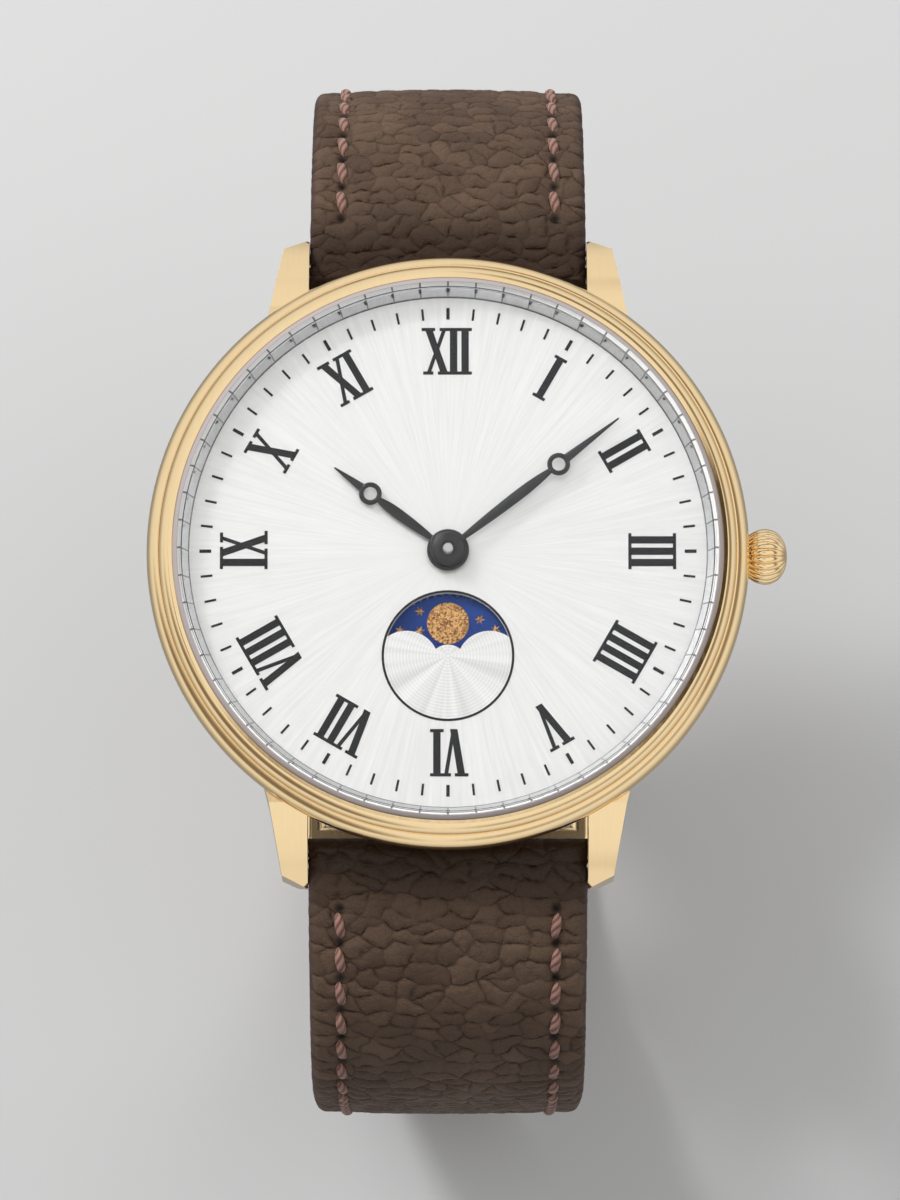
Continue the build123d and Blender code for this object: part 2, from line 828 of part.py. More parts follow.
# Centre wheel, on the arbor that goes up through the plate to the cannon pinion
with BuildPart() as centre_wheel:
    gear(centre_teeth, centre_module, centre_turn, centre_place, centre_wheel_z, centre_wheel_z + wheel_t)
    disc(centre_place, arbor_r, centre_wheel_z - wheel_t, motion_z)
    disc(centre_place, pivot_r, bridge_low_z, centre_wheel_z)
centre_wheel.part.label = "centre_wheel"
export_step(centre_wheel.part, "parts/centre_wheel.step")

# Intermediate wheel: a large wheel that the rotor drives, and a pinion that drives the centre
with BuildPart() as intermediate_wheel:
    gear(intermediate_teeth, intermediate_module, rotor_direction, intermediate_place,
         intermediate_z, intermediate_z + thin_wheel_t)
    gear(intermediate_pinion_teeth, centre_module, intermediate_pinion_turn, intermediate_place,
         centre_wheel_z - motion_gap, intermediate_z)
    disc(intermediate_place, small_arbor_r, centre_wheel_z - wheel_t, plate_z - motion_gap)
    disc(intermediate_place, pivot_r, bridge_low_z, plate_top_z - motion_gap)
intermediate_wheel.part.label = "intermediate_wheel"
export_step(intermediate_wheel.part, "parts/intermediate_wheel.step")

# Rotor: a round magnet in the stator's hole, with a small pinion
with BuildPart() as rotor:
    magnet_z = stator_z + (stator_t - rotor_magnet_h) / 2
    disc(rotor_place, rotor_magnet_r, magnet_z, magnet_z + rotor_magnet_h)
    gear(rotor_teeth, intermediate_module, rotor_turn, rotor_place,
         magnet_z + rotor_magnet_h, intermediate_z + thin_wheel_t + motion_gap)
    disc(rotor_place, pivot_r, bridge_low_z, plate_top_z - motion_gap)
rotor.part.label = "rotor"
export_step(rotor.part, "parts/rotor.step")

# Cannon pinion: carries the minute hand up through the hour wheel
minute_hand_z = dial_z + minute_hand_lift
cannon_top_z = minute_hand_z + hand_t + hub_h
with BuildPart() as cannon_pinion:
    gear(cannon_teeth, cannon_module, cannon_turn, centre_place, motion_z, motion_z + motion_t)
    disc(centre_place, cannon_r, motion_z + motion_t, minute_hand_z + hand_t)
    disc(centre_place, pin_r, minute_hand_z + hand_t, cannon_top_z + pin_rise)
cannon_pinion.part.label = "cannon_pinion"
export_step(cannon_pinion.part, "parts/cannon_pinion.step")

# Minute wheel, with the pinion that drives the hour wheel
with BuildPart() as minute_wheel:
    gear(minute_wheel_teeth, cannon_module, minute_wheel_turn, minute_wheel_place,
         motion_z, motion_z + motion_t)
    gear(minute_pinion_teeth, hour_module, minute_pinion_turn, minute_wheel_place,
         motion_z + motion_t, hour_wheel_z + motion_t)
    disc(minute_wheel_place, post_r + running_gap,
         motion_z - cut_over, hour_wheel_z + cut_over, Mode.SUBTRACT)
minute_wheel.part.label = "minute_wheel"
export_step(minute_wheel.part, "parts/minute_wheel.step")

# Hour wheel: a toothed disc with the pipe for the hour hand
hour_hand_z = dial_z + hour_hand_lift
pipe_inner_r = cannon_r + running_gap
pipe_r = pipe_inner_r + pipe_wall
with BuildPart() as hour_wheel:
    gear(hour_teeth, hour_module, hour_turn, centre_place, hour_wheel_z, hour_wheel_z + motion_t)
    disc(centre_place, pipe_r, hour_wheel_z, hour_hand_z + hand_t)
    disc(centre_place, pipe_inner_r, hour_wheel_z - cut_over, hour_hand_z + cut_over, Mode.SUBTRACT)
hour_wheel.part.label = "hour_wheel"
export_step(hour_wheel.part, "parts/hour_wheel.step")

# Day wheel: turns once in 24 hours, with the finger that moves the moon disc
moon_offset = (moon_place[0] - day_place[0], moon_place[1] - day_place[1])
finger_direction = degrees(atan2(moon_offset[1], moon_offset[0]))
finger_r = hypot(*moon_offset) - moon_disc_r - finger_gap
day_hub_r = pitch_r(day_teeth, hour_module) * hub_r_share
with BuildPart() as day_wheel:
    gear(day_teeth, hour_module, day_turn, day_place, hour_wheel_z, hour_wheel_z + motion_t)
    disc(day_place, day_hub_r, hour_wheel_z + motion_t, moon_disc_z + moon_disc_t)
    finger_turn = radians(finger_direction - 180)
    finger_plane = Plane(
        origin=(day_place[0], day_place[1], hour_wheel_z + motion_t),
        x_dir=(cos(finger_turn), sin(finger_turn), 0),
        z_dir=(0, 0, 1),
    )
    with BuildSketch(finger_plane):
        with Locations((finger_r / 2, 0)):
            Rectangle(finger_r, finger_w)
    extrude(amount=moon_disc_z + moon_disc_t - hour_wheel_z - motion_t)
    disc(day_place, big_post_r + running_gap, hour_wheel_z - cut_over, moon_disc_z + cut_over, Mode.SUBTRACT)
day_wheel.part.label = "day_wheel"
export_step(day_wheel.part, "parts/day_wheel.step")

# Moon disc: one pointed tooth a day, for two moons in 59 days
with BuildPart() as moon_disc:
    tooth_angle = 360 / moon_teeth
    rim = [
        polar(moon_disc_r - (count % 2) * moon_tooth_depth, count * tooth_angle / 2)
        for count in range(2 * moon_teeth)
    ]
    with BuildSketch(Plane.XY.offset(moon_disc_z)):
        with Locations(moon_place):
            Polygon(*rim, align=None)
            Circle(big_post_r + running_gap, mode=Mode.SUBTRACT)
    extrude(amount=moon_disc_t)
moon_disc.part.label = "moon_disc"
export_step(moon_disc.part, "parts/moon_disc.step")

moon_face_z = moon_disc_z + moon_disc_t
with BuildPart() as moons:
    for half_turn in (0, 180):
        moon_centre = moved(moon_place, moon_orbit_r, moon_angle + half_turn)
        disc(moon_centre, moon_r, moon_face_z, moon_face_z + print_t)
moons.part.label = "moons"
export_step(moons.part, "parts/moons.step")


def star_outline(radius, turn):
    """Corners of a pointed star."""
    step = 180 / star_points
    return [
        polar(radius * (star_inner_share if count % 2 else 1), turn + count * step)
        for count in range(2 * star_points)
    ]


with BuildPart() as stars:
    for half_turn in (0, 180):
        for distance_share, direction in star_places_share:
            with BuildSketch(Plane.XY.offset(moon_face_z)):
                spot = moved(moon_place, moon_disc_r * distance_share, direction + half_turn)
                with Locations(spot):
                    Polygon(*star_outline(star_r, direction + half_turn), align=None)
                with Locations(moved(moon_place, moon_orbit_r, moon_angle + half_turn)):
                    Circle(moon_r + seat_gap, mode=Mode.SUBTRACT)
            extrude(amount=print_t)
stars.part.label = "stars"
export_step(stars.part, "parts/stars.step")


def hand_blank(length, eye, hub_r):
    """Flat leaf with a ring before its pointed tip, along the sketch's own +Y."""
    start = hub_r - leaf_neck_w
    ring_low = eye - eye_hole_r - leaf_neck_w / 3
    middle = start + (ring_low - start) * 2 / 3
    with BuildLine() as leaf:
        Line((-leaf_neck_w / 2, start), (leaf_neck_w / 2, start))
        ThreePointArc((leaf_neck_w / 2, start), (leaf_w / 2, middle), (leaf_neck_w / 2, ring_low))
        Line((leaf_neck_w / 2, ring_low), (-leaf_neck_w / 2, ring_low))
        ThreePointArc((-leaf_neck_w / 2, ring_low), (-leaf_w / 2, middle), (-leaf_neck_w / 2, start))
    make_face(leaf.line.edges())
    tip_start = eye + eye_hole_r + leaf_neck_w / 3
    Polygon(
        (-tip_base_w / 2, tip_start), (tip_base_w / 2, tip_start),
        (tip_w / 2, length), (-tip_w / 2, length), align=None,
    )
    with Locations((0, eye)):
        Circle(eye_r)
        Circle(eye_hole_r, mode=Mode.SUBTRACT)
    Circle(hub_r)


# Minute hand: pushed onto the cannon pinion
with BuildPart() as minute_hand:
    with BuildSketch(clock_plane(minute_hand_z, minute_angle)):
        hand_blank(minute_length, minute_eye, minute_hub_r)
    extrude(amount=hand_t)
    disc(centre_place, minute_hub_r, minute_hand_z + hand_t, cannon_top_z)
    disc(centre_place, cannon_r + seat_gap, minute_hand_z - cut_over, minute_hand_z + hand_t, Mode.SUBTRACT)
    disc(centre_place, pin_r + seat_gap, minute_hand_z, cannon_top_z + cut_over, Mode.SUBTRACT)
minute_hand.part.label = "minute_hand"
export_step(minute_hand.part, "parts/minute_hand.step")

# Hour hand: pushed onto the pipe of the hour wheel
with BuildPart() as hour_hand:
    with BuildSketch(clock_plane(hour_hand_z, hour_angle)):
        hand_blank(hour_length, hour_eye, hour_hub_r)
    extrude(amount=hand_t)
    disc(centre_place, pipe_r + seat_gap, hour_hand_z - cut_over, hour_hand_z + cut_over, Mode.SUBTRACT)
hour_hand.part.label = "hour_hand"
export_step(hour_hand.part, "parts/hour_hand.step")

# Battery, a button cell beside the train, and the spring strap that holds it
battery_place = polar(battery_distance, battery_direction)
battery_top_z = plate_z - battery_gap
battery_low_z = battery_top_z - battery_h
with BuildPart() as battery:
    disc(battery_place, battery_d / 2, battery_low_z, battery_top_z)
    chamfer(battery.edges().group_by(Axis.Z)[0], battery_edge)
battery.part.label = "battery"
export_step(battery.part, "parts/battery.step")

with BuildPart() as battery_clamp:
    clamp_turn = radians(battery_direction + 90)
    clamp_plane = Plane(
        origin=(battery_place[0], battery_place[1], battery_low_z - clamp_t),
        x_dir=(cos(clamp_turn), sin(clamp_turn), 0),
        z_dir=(0, 0, 1),
    )
    with BuildSketch(clamp_plane):
        SlotOverall(battery_d, clamp_w)
    extrude(amount=clamp_t)
battery_clamp.part.label = "battery_clamp"
export_step(battery_clamp.part, "parts/battery_clamp.step")

# Stator: a soft iron strip with the rotor's hole, under two posts of the plate
with BuildPart() as stator:
    with BuildSketch(Plane.XY.offset(stator_z)):
        with Locations((0, rotor_place[1])):
            Rectangle(stator_l, stator_w)
        for side in (-1, 1):
            with Locations((side * stator_end_x, (rotor_place[1] - coil_distance) / 2)):
                Rectangle(2 * stator_post_r, coil_distance + rotor_place[1] + core_w)
        with Locations(rotor_place):
            Circle(rotor_hole_r, mode=Mode.SUBTRACT)
    extrude(amount=stator_t)
stator.part.label = "stator"
export_step(stator.part, "parts/stator.step")

# Coil core: an iron bar that joins the stator's ends, through the coil
core_z = stator_z - core_t
with BuildPart() as coil_core:
    with BuildSketch(Plane.XY.offset(core_z)):
        with Locations((0, -coil_distance)):
            Rectangle(stator_l, core_w)
    extrude(amount=core_t)
coil_core.part.label = "coil_core"
export_step(coil_core.part, "parts/coil_core.step")

with BuildPart() as motor_coil:
    coil_z = core_z + core_t / 2
    with BuildSketch(Plane.YZ.offset(-coil_l / 2)):
        with Locations((-coil_distance, coil_z)):
            RectangleRounded(2 * coil_r, 2 * coil_r, coil_edge_r)
            Rectangle(core_w + 2 * seat_gap, core_t + 2 * seat_gap, mode=Mode.SUBTRACT)
    extrude(amount=coil_l)
motor_coil.part.label = "motor_coil"
export_step(motor_coil.part, "parts/motor_coil.step")

# Circuit board, on its own pillar, with the quartz can under the plate
board_z = bridge_z - board_t
with BuildPart() as circuit_board:
    with BuildSketch(Plane.XY.offset(board_z)):
        with BuildLine():
            outer_start = polar(board_r, board_start)
            outer_end = polar(board_r, board_start + board_sweep)
            inner_start = polar(board_inner_r, board_start)
            inner_end = polar(board_inner_r, board_start + board_sweep)
            ThreePointArc(outer_start, polar(board_r, board_start + board_sweep / 2), outer_end)
            Line(outer_end, inner_end)
            ThreePointArc(inner_end, polar(board_inner_r, board_start + board_sweep / 2), inner_start)
            Line(inner_start, outer_start)
        make_face()
    extrude(amount=board_t)
    for place in board_places:
        disc(place, screw_r + seat_gap, board_z - cut_over, bridge_z + cut_over, Mode.SUBTRACT)
circuit_board.part.label = "circuit_board"
export_step(circuit_board.part, "parts/circuit_board.step")

with BuildPart() as board_screw:
    for place in board_places:
        slotted_screw(place, board_z, plate_z)
board_screw.part.label = "board_screw"
export_step(board_screw.part, "parts/board_screw.step")

with BuildPart() as quartz_can:
    can_place = polar(can_distance, can_angle + board_start / 2)
    can_turn = radians(can_angle + board_start / 2 + 90)
    along_can = (cos(can_turn), sin(can_turn), 0)
    can_plane = Plane(
        origin=(
            can_place[0] - along_can[0] * can_l / 2,
            can_place[1] - along_can[1] * can_l / 2,
            bridge_z + seat_gap + can_r,
        ),
        x_dir=(0, 0, 1),
        z_dir=along_can,
    )
    with BuildSketch(can_plane):
        Circle(can_r)
    extrude(amount=can_l)
quartz_can.part.label = "quartz_can"
export_step(quartz_can.part, "parts/quartz_can.step")

# Pendant tube: pressed into the case, and the stem turns in it
crown_x = case_flank_r + crown_gap
tube_end_x = crown_x + tube_reach
stem_bore_r = stem_r + running_gap
with BuildPart() as stem_tube:
    with BuildSketch(stem_plane(tube_inner_x)):
        Circle(tube_r)
        Circle(stem_bore_r, mode=Mode.SUBTRACT)
    extrude(amount=tube_end_x - tube_inner_x)
    gasket_bore_r = (tube_r + stem_bore_r) / 2
    with BuildSketch(stem_plane(tube_end_x - crown_gasket_w)):
        Circle(gasket_bore_r)
    extrude(amount=crown_gasket_w, mode=Mode.SUBTRACT)
stem_tube.part.label = "stem_tube"
export_step(stem_tube.part, "parts/stem_tube.step")

with BuildPart() as crown_gasket:
    with BuildSketch(stem_plane(tube_end_x - crown_gasket_w)):
        Circle(gasket_bore_r - seat_gap)
        Circle(stem_r + seat_gap, mode=Mode.SUBTRACT)
    extrude(amount=crown_gasket_w - seat_gap)
crown_gasket.part.label = "crown_gasket"
export_step(crown_gasket.part, "parts/crown_gasket.step")

# Crown: an onion shape with flutes along it
stem_axis = Axis((0, 0, stem_z), (1, 0, 0))
crown_end_x = crown_x + crown_length
collar_x = crown_x + crown_collar_w
collar_rim_z = stem_z + crown_collar_r
with BuildPart() as flute:
    with BuildLine() as flute_path:
        onion = ThreePointArc(
            (collar_x, 0, collar_rim_z + flute_r / 2),
            (crown_x + crown_widest, 0, stem_z + crown_r + flute_r / 2),
            (crown_end_x, 0, stem_z + crown_end_r + flute_r / 2),
        )
    with BuildSketch(Plane(origin=onion @ 0, z_dir=onion % 0)):
        Circle(flute_r)
    sweep(path=flute_path.line)
with BuildPart() as crown:
    with BuildSketch(Plane.XZ):
        with BuildLine():
            Polyline(
                (crown_end_x, stem_z + crown_end_r),
                (crown_end_x, stem_z),
                (crown_x, stem_z),
                (crown_x, collar_rim_z),
                (collar_x, collar_rim_z),
            )
            ThreePointArc(
                (collar_x, collar_rim_z),
                (crown_x + crown_widest, stem_z + crown_r),
                (crown_end_x, stem_z + crown_end_r),
            )
        make_face()
    revolve(axis=stem_axis)
    for count in range(flutes):
        add(flute.part.rotate(stem_axis, count * 360 / flutes), mode=Mode.SUBTRACT)
    with BuildSketch(stem_plane(crown_x)):
        Circle(tube_r + crown_bore_gap)
    extrude(amount=crown_bore_depth, mode=Mode.SUBTRACT)
    with BuildSketch(stem_plane(crown_x)):
        Circle(stem_r + seat_gap)
    extrude(amount=crown_bore_depth + crown_hold + seat_gap, mode=Mode.SUBTRACT)
crown.part.label = "crown"
export_step(crown.part, "parts/crown.step")

# Stem: pilot, square, round part with the lever's groove
with BuildPart() as stem:
    stem_end_x = crown_x + crown_bore_depth + crown_hold
    with BuildSketch(stem_plane(stem_pilot_x)):
        Circle(stem_pilot_r)
    extrude(amount=stem_square_x - stem_pilot_x)
    with BuildSketch(stem_plane(stem_square_x)):
        Rectangle(stem_square, stem_square)
    extrude(amount=stem_round_x - stem_square_x)
    with BuildSketch(stem_plane(stem_round_x)):
        Circle(stem_r)
    extrude(amount=stem_end_x - stem_round_x)
    with BuildSketch(stem_plane(stem_groove_x - stem_groove_w / 2)):
        Circle(2 * stem_r)
        Circle(stem_groove_r, mode=Mode.SUBTRACT)
    extrude(amount=stem_groove_w, mode=Mode.SUBTRACT)
stem.part.label = "stem"
export_step(stem.part, "parts/stem.step")

# Sliding pinion: the stem's square passes through it
with BuildPart() as sliding_pinion:
    with BuildSketch(stem_plane(pinion_x)):
        Circle(pinion_r * pinion_tooth_share)
        with PolarLocations(pinion_r * pinion_tooth_share, pinion_teeth):
            Rectangle(2 * pinion_r * (1 - pinion_tooth_share), stem_groove_r / 3)
        Rectangle(stem_square + 2 * running_gap, stem_square + 2 * running_gap, mode=Mode.SUBTRACT)
    extrude(amount=pinion_l)
sliding_pinion.part.label = "sliding_pinion"
export_step(sliding_pinion.part, "parts/sliding_pinion.step")

# Setting lever: its pin sits in the stem's groove, and it turns on a post of the plate
lever_z = plate_top_z + motion_gap
lever_pin_place = (stem_groove_x, lever_pin_y)
with BuildPart() as setting_lever:
    with BuildSketch(Plane.XY.offset(lever_z)):
        with Locations(setting_pivot):
            Circle(lever_hub_r)
        with Locations(lever_pin_place):
            Circle(lever_tip_r)
        make_hull()
    extrude(amount=lever_t)
    disc(lever_pin_place, lever_pin_r, stem_z - stem_groove_r, lever_z)
    disc(setting_pivot, post_r + running_gap, lever_z - cut_over, lever_z + cut_over, Mode.SUBTRACT)
setting_lever.part.label = "setting_lever"
export_step(setting_lever.part, "parts/setting_lever.step")

# Lever spring: a flat strip on the plate beside the setting lever
with BuildPart() as lever_spring:
    with BuildSketch(Plane.XY.offset(plate_top_z)):
        with Locations((jumper_place[0] - jumper_w, jumper_place[1])):
            Rectangle(jumper_w, jumper_l)
    extrude(amount=jumper_t)
lever_spring.part.label = "lever_spring"
export_step(lever_spring.part, "parts/lever_spring.step")


def strap_place(legs, run):
    """Distance out, height and angle below level after a run along a strap's middle line."""
    out, height, fall = bar_y, bar_z, 0.0
    for length, bend in legs:
        step = min(run, length)
        if bend:
            turn = degrees(step / bend)
            out += bend * (sin(radians(fall + turn)) - sin(radians(fall)))
            height += bend * (cos(radians(fall + turn)) - cos(radians(fall)))
            fall += turn
        else:
            out += step * cos(radians(fall))
            height -= step * sin(radians(fall))
        run -= step
        if run <= 0:
            break
    return out, height, fall


def strap_plane(side, legs, run):
    """Plane across a strap at a run, with its own +Y on the outer face's side."""
    out, height, fall = strap_place(legs, run)
    return Plane(
        origin=(0, side * out, height),
        x_dir=(-side, 0, 0),
        z_dir=(0, side * cos(radians(fall)), -sin(radians(fall))),
    )


def strap_flat_plane(side, legs, run):
    """Plane in the middle of a strap at a run, with its own +Y along the strap."""
    across = strap_plane(side, legs, run)
    return Plane(origin=across.origin, x_dir=across.x_dir * -1, z_dir=across.y_dir)


def strap_thickness(run):
    return strap_t - (strap_t - strap_thin_t) * min(run / strap_thin_run, 1)


def strap_width(run, length):
    full = lug_gap - 2 * strap_side_gap
    return full - (full - strap_end_w) * min(run / length, 1)


def strap_crown_rise(thickness):
    """Rise of the padding, full at the lugs and gone where the strap is thin."""
    padding_share = (thickness - strap_thin_t) / (strap_t - strap_thin_t)
    return strap_flat_crown + (strap_crown - strap_flat_crown) * padding_share


def leather_section(plane, width, thickness):
    """Padded section: flat below, rounded at the sides and crowned above."""
    half = width / 2
    low = -thickness / 2 + lining_t + lining_gap
    top = thickness / 2
    shoulder = top - strap_crown_rise(thickness)
    corner = strap_edge_r * (1 - cos(radians(45)))
    with BuildSketch(plane) as section:
        with BuildLine():
            Line((-half, low), (half, low))
            Line((half, low), (half, shoulder - strap_edge_r))
            ThreePointArc(
                (half, shoulder - strap_edge_r),
                (half - corner, shoulder - corner),
                (half - strap_edge_r, shoulder),
            )
            ThreePointArc((half - strap_edge_r, shoulder), (0, top), (strap_edge_r - half, shoulder))
            ThreePointArc(
                (strap_edge_r - half, shoulder),
                (corner - half, shoulder - corner),
                (-half, shoulder - strap_edge_r),
            )
            Line((-half, shoulder - strap_edge_r), (-half, low))
        make_face()
    return section.sketch


def lining_section(plane, width, thickness):
    with BuildSketch(plane) as section:
        with Locations((0, (lining_t - thickness) / 2)):
            Rectangle(width - 2 * lining_inset, lining_t)
    return section.sketch


def spaced_runs(start, end):
    """Runs from start to end, in equal steps no longer than the section step."""
    steps = int((end - start) / section_step) + 1
    return [start + (end - start) * count / steps for count in range(steps + 1)]


def strap_layer(section, side, legs, length, start, end):
    """One layer of a strap, lofted leg by leg through sections across its middle line."""
    leg_start = 0
    for leg_length, bend in legs:
        leg_end = leg_start + leg_length
        low, high = max(start, leg_start), min(end, leg_end)
        if high - low > cut_over / 2:
            runs = spaced_runs(low, high) if bend else (low, high)
            loft([
                section(strap_plane(side, legs, run), strap_width(run, length), strap_thickness(run))
                for run in runs
            ])
        leg_start = leg_end


def bar_tunnel(place, outer_r, width):
    """Round end of a strap about a bar along X."""
    with BuildSketch(Plane.YZ.offset(-width / 2)) as outline:
        with Locations(place):
            Circle(outer_r)
    extrude(outline.sketch, amount=width)


def bar_hole(place, radius):
    with BuildSketch(Plane.YZ.offset(-lug_gap)) as outline:
        with Locations(place):
            Circle(radius)
    extrude(outline.sketch, amount=2 * lug_gap, mode=Mode.SUBTRACT)


def arc_leg(bend, turn):
    return (radians(turn) * bend, bend)


# Middle lines of the two strap halves, as straight and bent legs
legs_12 = [(first_run, 0), arc_leg(upper_bend_12, 90), arc_leg(lower_bend_12, lower_turn_12)]
legs_12.append((length_12 - sum(leg[0] for leg in legs_12), 0))
legs_6 = [
    (first_run, 0),
    arc_leg(upper_bend_6, 90),
    arc_leg(middle_bend_6, middle_turn_6),
    arc_leg(lower_bend_6, 90 - middle_turn_6),
]
legs_6.append((length_6 - sum(leg[0] for leg in legs_6), 0))

# 12 o'clock half: round a spring bar at one end and the buckle's bar at the other
buckle_out, buckle_z, buckle_fall = strap_place(legs_12, length_12)
buckle_place = (buckle_out, buckle_z)
buckle_end_r = strap_thin_t / 2
lug_end_w = strap_width(0, length_12)
slot_half_w = tongue_w / 2 + tongue_slot_gap
with BuildPart() as strap_12_leather:
    strap_layer(leather_section, 1, legs_12, length_12, 0, length_12)
    bar_tunnel((bar_y, bar_z), strap_t / 2, lug_end_w)
    bar_tunnel(buckle_place, buckle_end_r, strap_end_w)
    bar_hole((bar_y, bar_z), bar_r + tunnel_gap)
    bar_hole(buckle_place, buckle_bar_r + buckle_bar_gap)
    with BuildSketch(strap_flat_plane(1, legs_12, length_12)):
        with Locations((0, -tongue_slot_run / 2)):
            Rectangle(2 * slot_half_w, 3 * tongue_slot_run)
        with Locations((0, -2 * tongue_slot_run - slot_half_w)):
            Rectangle(3 * slot_half_w, 2 * tongue_slot_run, mode=Mode.SUBTRACT)
    extrude(amount=strap_t, both=True, mode=Mode.SUBTRACT)
strap_12_leather.part.label = "strap_12_leather"
export_step(strap_12_leather.part, "parts/strap_12_leather.step")

with BuildPart() as strap_12_lining:
    lining_end = length_12 - tongue_slot_run - slot_half_w
    strap_layer(lining_section, 1, legs_12, length_12, lining_start, lining_end)
strap_12_lining.part.label = "strap_12_lining"
export_step(strap_12_lining.part, "parts/strap_12_lining.step")


def tail_cuts():
    """Rounded tip and the row of buckle holes of the long half."""
    half = strap_end_w / 2 + cut_over
    with BuildSketch(strap_flat_plane(-1, legs_6, length_6)) as tip_waste:
        with Locations((0, -tip_length / 2 + cut_over / 2)):
            Rectangle(2 * half, tip_length + cut_over)
        with BuildLine():
            ThreePointArc(
                (-strap_end_w / 2 - cut_over, -tip_length),
                (-(strap_end_w + tip_end_w) / 4 - cut_over / 2, -tip_length / 3),
                (-tip_end_w / 2, 0),
            )
            Line((-tip_end_w / 2, 0), (tip_end_w / 2, 0))
            ThreePointArc(
                (tip_end_w / 2, 0),
                ((strap_end_w + tip_end_w) / 4 + cut_over / 2, -tip_length / 3),
                (strap_end_w / 2 + cut_over, -tip_length),
            )
            Line((strap_end_w / 2 + cut_over, -tip_length), (-strap_end_w / 2 - cut_over, -tip_length))
        make_face(mode=Mode.SUBTRACT)
    extrude(tip_waste.sketch, amount=strap_t, both=True, mode=Mode.SUBTRACT)
    for count in range(hole_count):
        with BuildSketch(strap_flat_plane(-1, legs_6, length_6 - hole_first - count * hole_pitch)) as hole:
            Circle(hole_r)
        extrude(hole.sketch, amount=strap_t, both=True, mode=Mode.SUBTRACT)


# 6 o'clock half: round its spring bar, with the holes and the tip
with BuildPart() as strap_6_leather:
    strap_layer(leather_section, -1, legs_6, length_6, 0, length_6)
    bar_tunnel((-bar_y, bar_z), strap_t / 2, lug_end_w)
    bar_hole((-bar_y, bar_z), bar_r + tunnel_gap)
    tail_cuts()
strap_6_leather.part.label = "strap_6_leather"
export_step(strap_6_leather.part, "parts/strap_6_leather.step")

with BuildPart() as strap_6_lining:
    strap_layer(lining_section, -1, legs_6, length_6, lining_start, length_6 - lining_t)
    tail_cuts()
strap_6_lining.part.label = "strap_6_lining"
export_step(strap_6_lining.part, "parts/strap_6_lining.step")


def keeper_band(run, inner_gap):
    """Closed leather band round the strap, with room for the other half on its outer face."""
    thickness = strap_thickness(run)
    inner_w = strap_width(run, length_12) + 2 * keeper_side_gap
    inner_low = -thickness / 2 - inner_gap
    inner_high = thickness / 2 + keeper_room
    middle = (inner_low + inner_high) / 2
    inner_h = inner_high - inner_low
    across = strap_plane(1, legs_12, run)
    with BuildSketch(across.offset(-keeper_w / 2)) as band:
        with Locations((0, middle)):
            RectangleRounded(inner_w + 2 * keeper_t, inner_h + 2 * keeper_t, keeper_t + keeper_edge_r)
            RectangleRounded(inner_w, inner_h, keeper_edge_r, mode=Mode.SUBTRACT)
    extrude(band.sketch, amount=keeper_w)


with BuildPart() as fixed_keeper:
    keeper_band(length_12 - fixed_keeper_run, 0)
fixed_keeper.part.label = "fixed_keeper"
export_step(fixed_keeper.part, "parts/fixed_keeper.step")

with BuildPart() as free_keeper:
    keeper_band(length_12 - free_keeper_back, keeper_inner_gap)
free_keeper.part.label = "free_keeper"
export_step(free_keeper.part, "parts/free_keeper.step")

# Buckle frame: an open rectangle whose two arms turn on the buckle's bar
buckle_plane = strap_flat_plane(1, legs_12, length_12)
arm_inner_x = strap_end_w / 2 + buckle_inner_gap
arm_outer_x = arm_inner_x + buckle_arm_w
with BuildPart() as buckle_frame:
    with BuildSketch(buckle_plane.offset(-buckle_t / 2)):
        with Locations((0, (buckle_reach - buckle_back) / 2)):
            RectangleRounded(2 * arm_outer_x, buckle_reach + buckle_back, buckle_edge_r * 2)
        with Locations((0, (buckle_reach - buckle_cross_w) / 2 - cut_over - buckle_back)):
            Rectangle(2 * arm_inner_x, buckle_reach - buckle_cross_w + 2 * cut_over + 2 * buckle_back,
                      mode=Mode.SUBTRACT)
    extrude(amount=buckle_t)
    long_edges = buckle_frame.faces().sort_by(SortBy.AREA)[-2:].edges()
    fillet(long_edges, buckle_edge_r)
    bar_hole(buckle_place, buckle_pivot_r + running_gap)
buckle_frame.part.label = "buckle_frame"
export_step(buckle_frame.part, "parts/buckle_frame.step")

with BuildPart() as buckle_bar:
    bar_tunnel(buckle_place, buckle_bar_r, 2 * (arm_inner_x - running_gap))
    bar_tunnel(buckle_place, buckle_pivot_r, 2 * (arm_outer_x - running_gap))
buckle_bar.part.label = "buckle_bar"
export_step(buckle_bar.part, "parts/buckle_bar.step")

# Tongue: an eye on the bar and an arm that rests on the frame's far side
with BuildPart() as buckle_tongue:
    side_plane = Plane(
        origin=(-tongue_w / 2, buckle_out, buckle_z),
        x_dir=buckle_plane.y_dir,
        z_dir=(1, 0, 0),
    )
    rest_height = buckle_t / 2 + running_gap
    outward = 1 if side_plane.y_dir.dot(buckle_plane.z_dir) > 0 else -1
    with BuildSketch(side_plane):
        Circle(tongue_eye_r)
        with BuildLine():
            Polyline(
                (0, outward * (tongue_eye_r - tongue_t / 2)),
                (0, outward * tongue_eye_r),
                (buckle_reach - buckle_cross_w - tongue_t, outward * (rest_height + tongue_t)),
                (buckle_reach, outward * (rest_height + tongue_t)),
                (buckle_reach + tongue_over, outward * (rest_height + tongue_t / 4)),
                (buckle_reach + tongue_over, outward * rest_height),
                (buckle_reach - buckle_cross_w - tongue_t, outward * rest_height),
                close=True,
            )
        make_face()
        Circle(buckle_bar_r + buckle_bar_gap, mode=Mode.SUBTRACT)
    extrude(amount=tongue_w)
buckle_tongue.part.label = "buckle_tongue"
export_step(buckle_tongue.part, "parts/buckle_tongue.step")

print("buckle bar at", buckle_place, "falling", buckle_fall)
print("tail end at", strap_place(legs_6, length_6))
print("free keeper turns about", strap_place(legs_12, first_run + legs_12[1][0]))
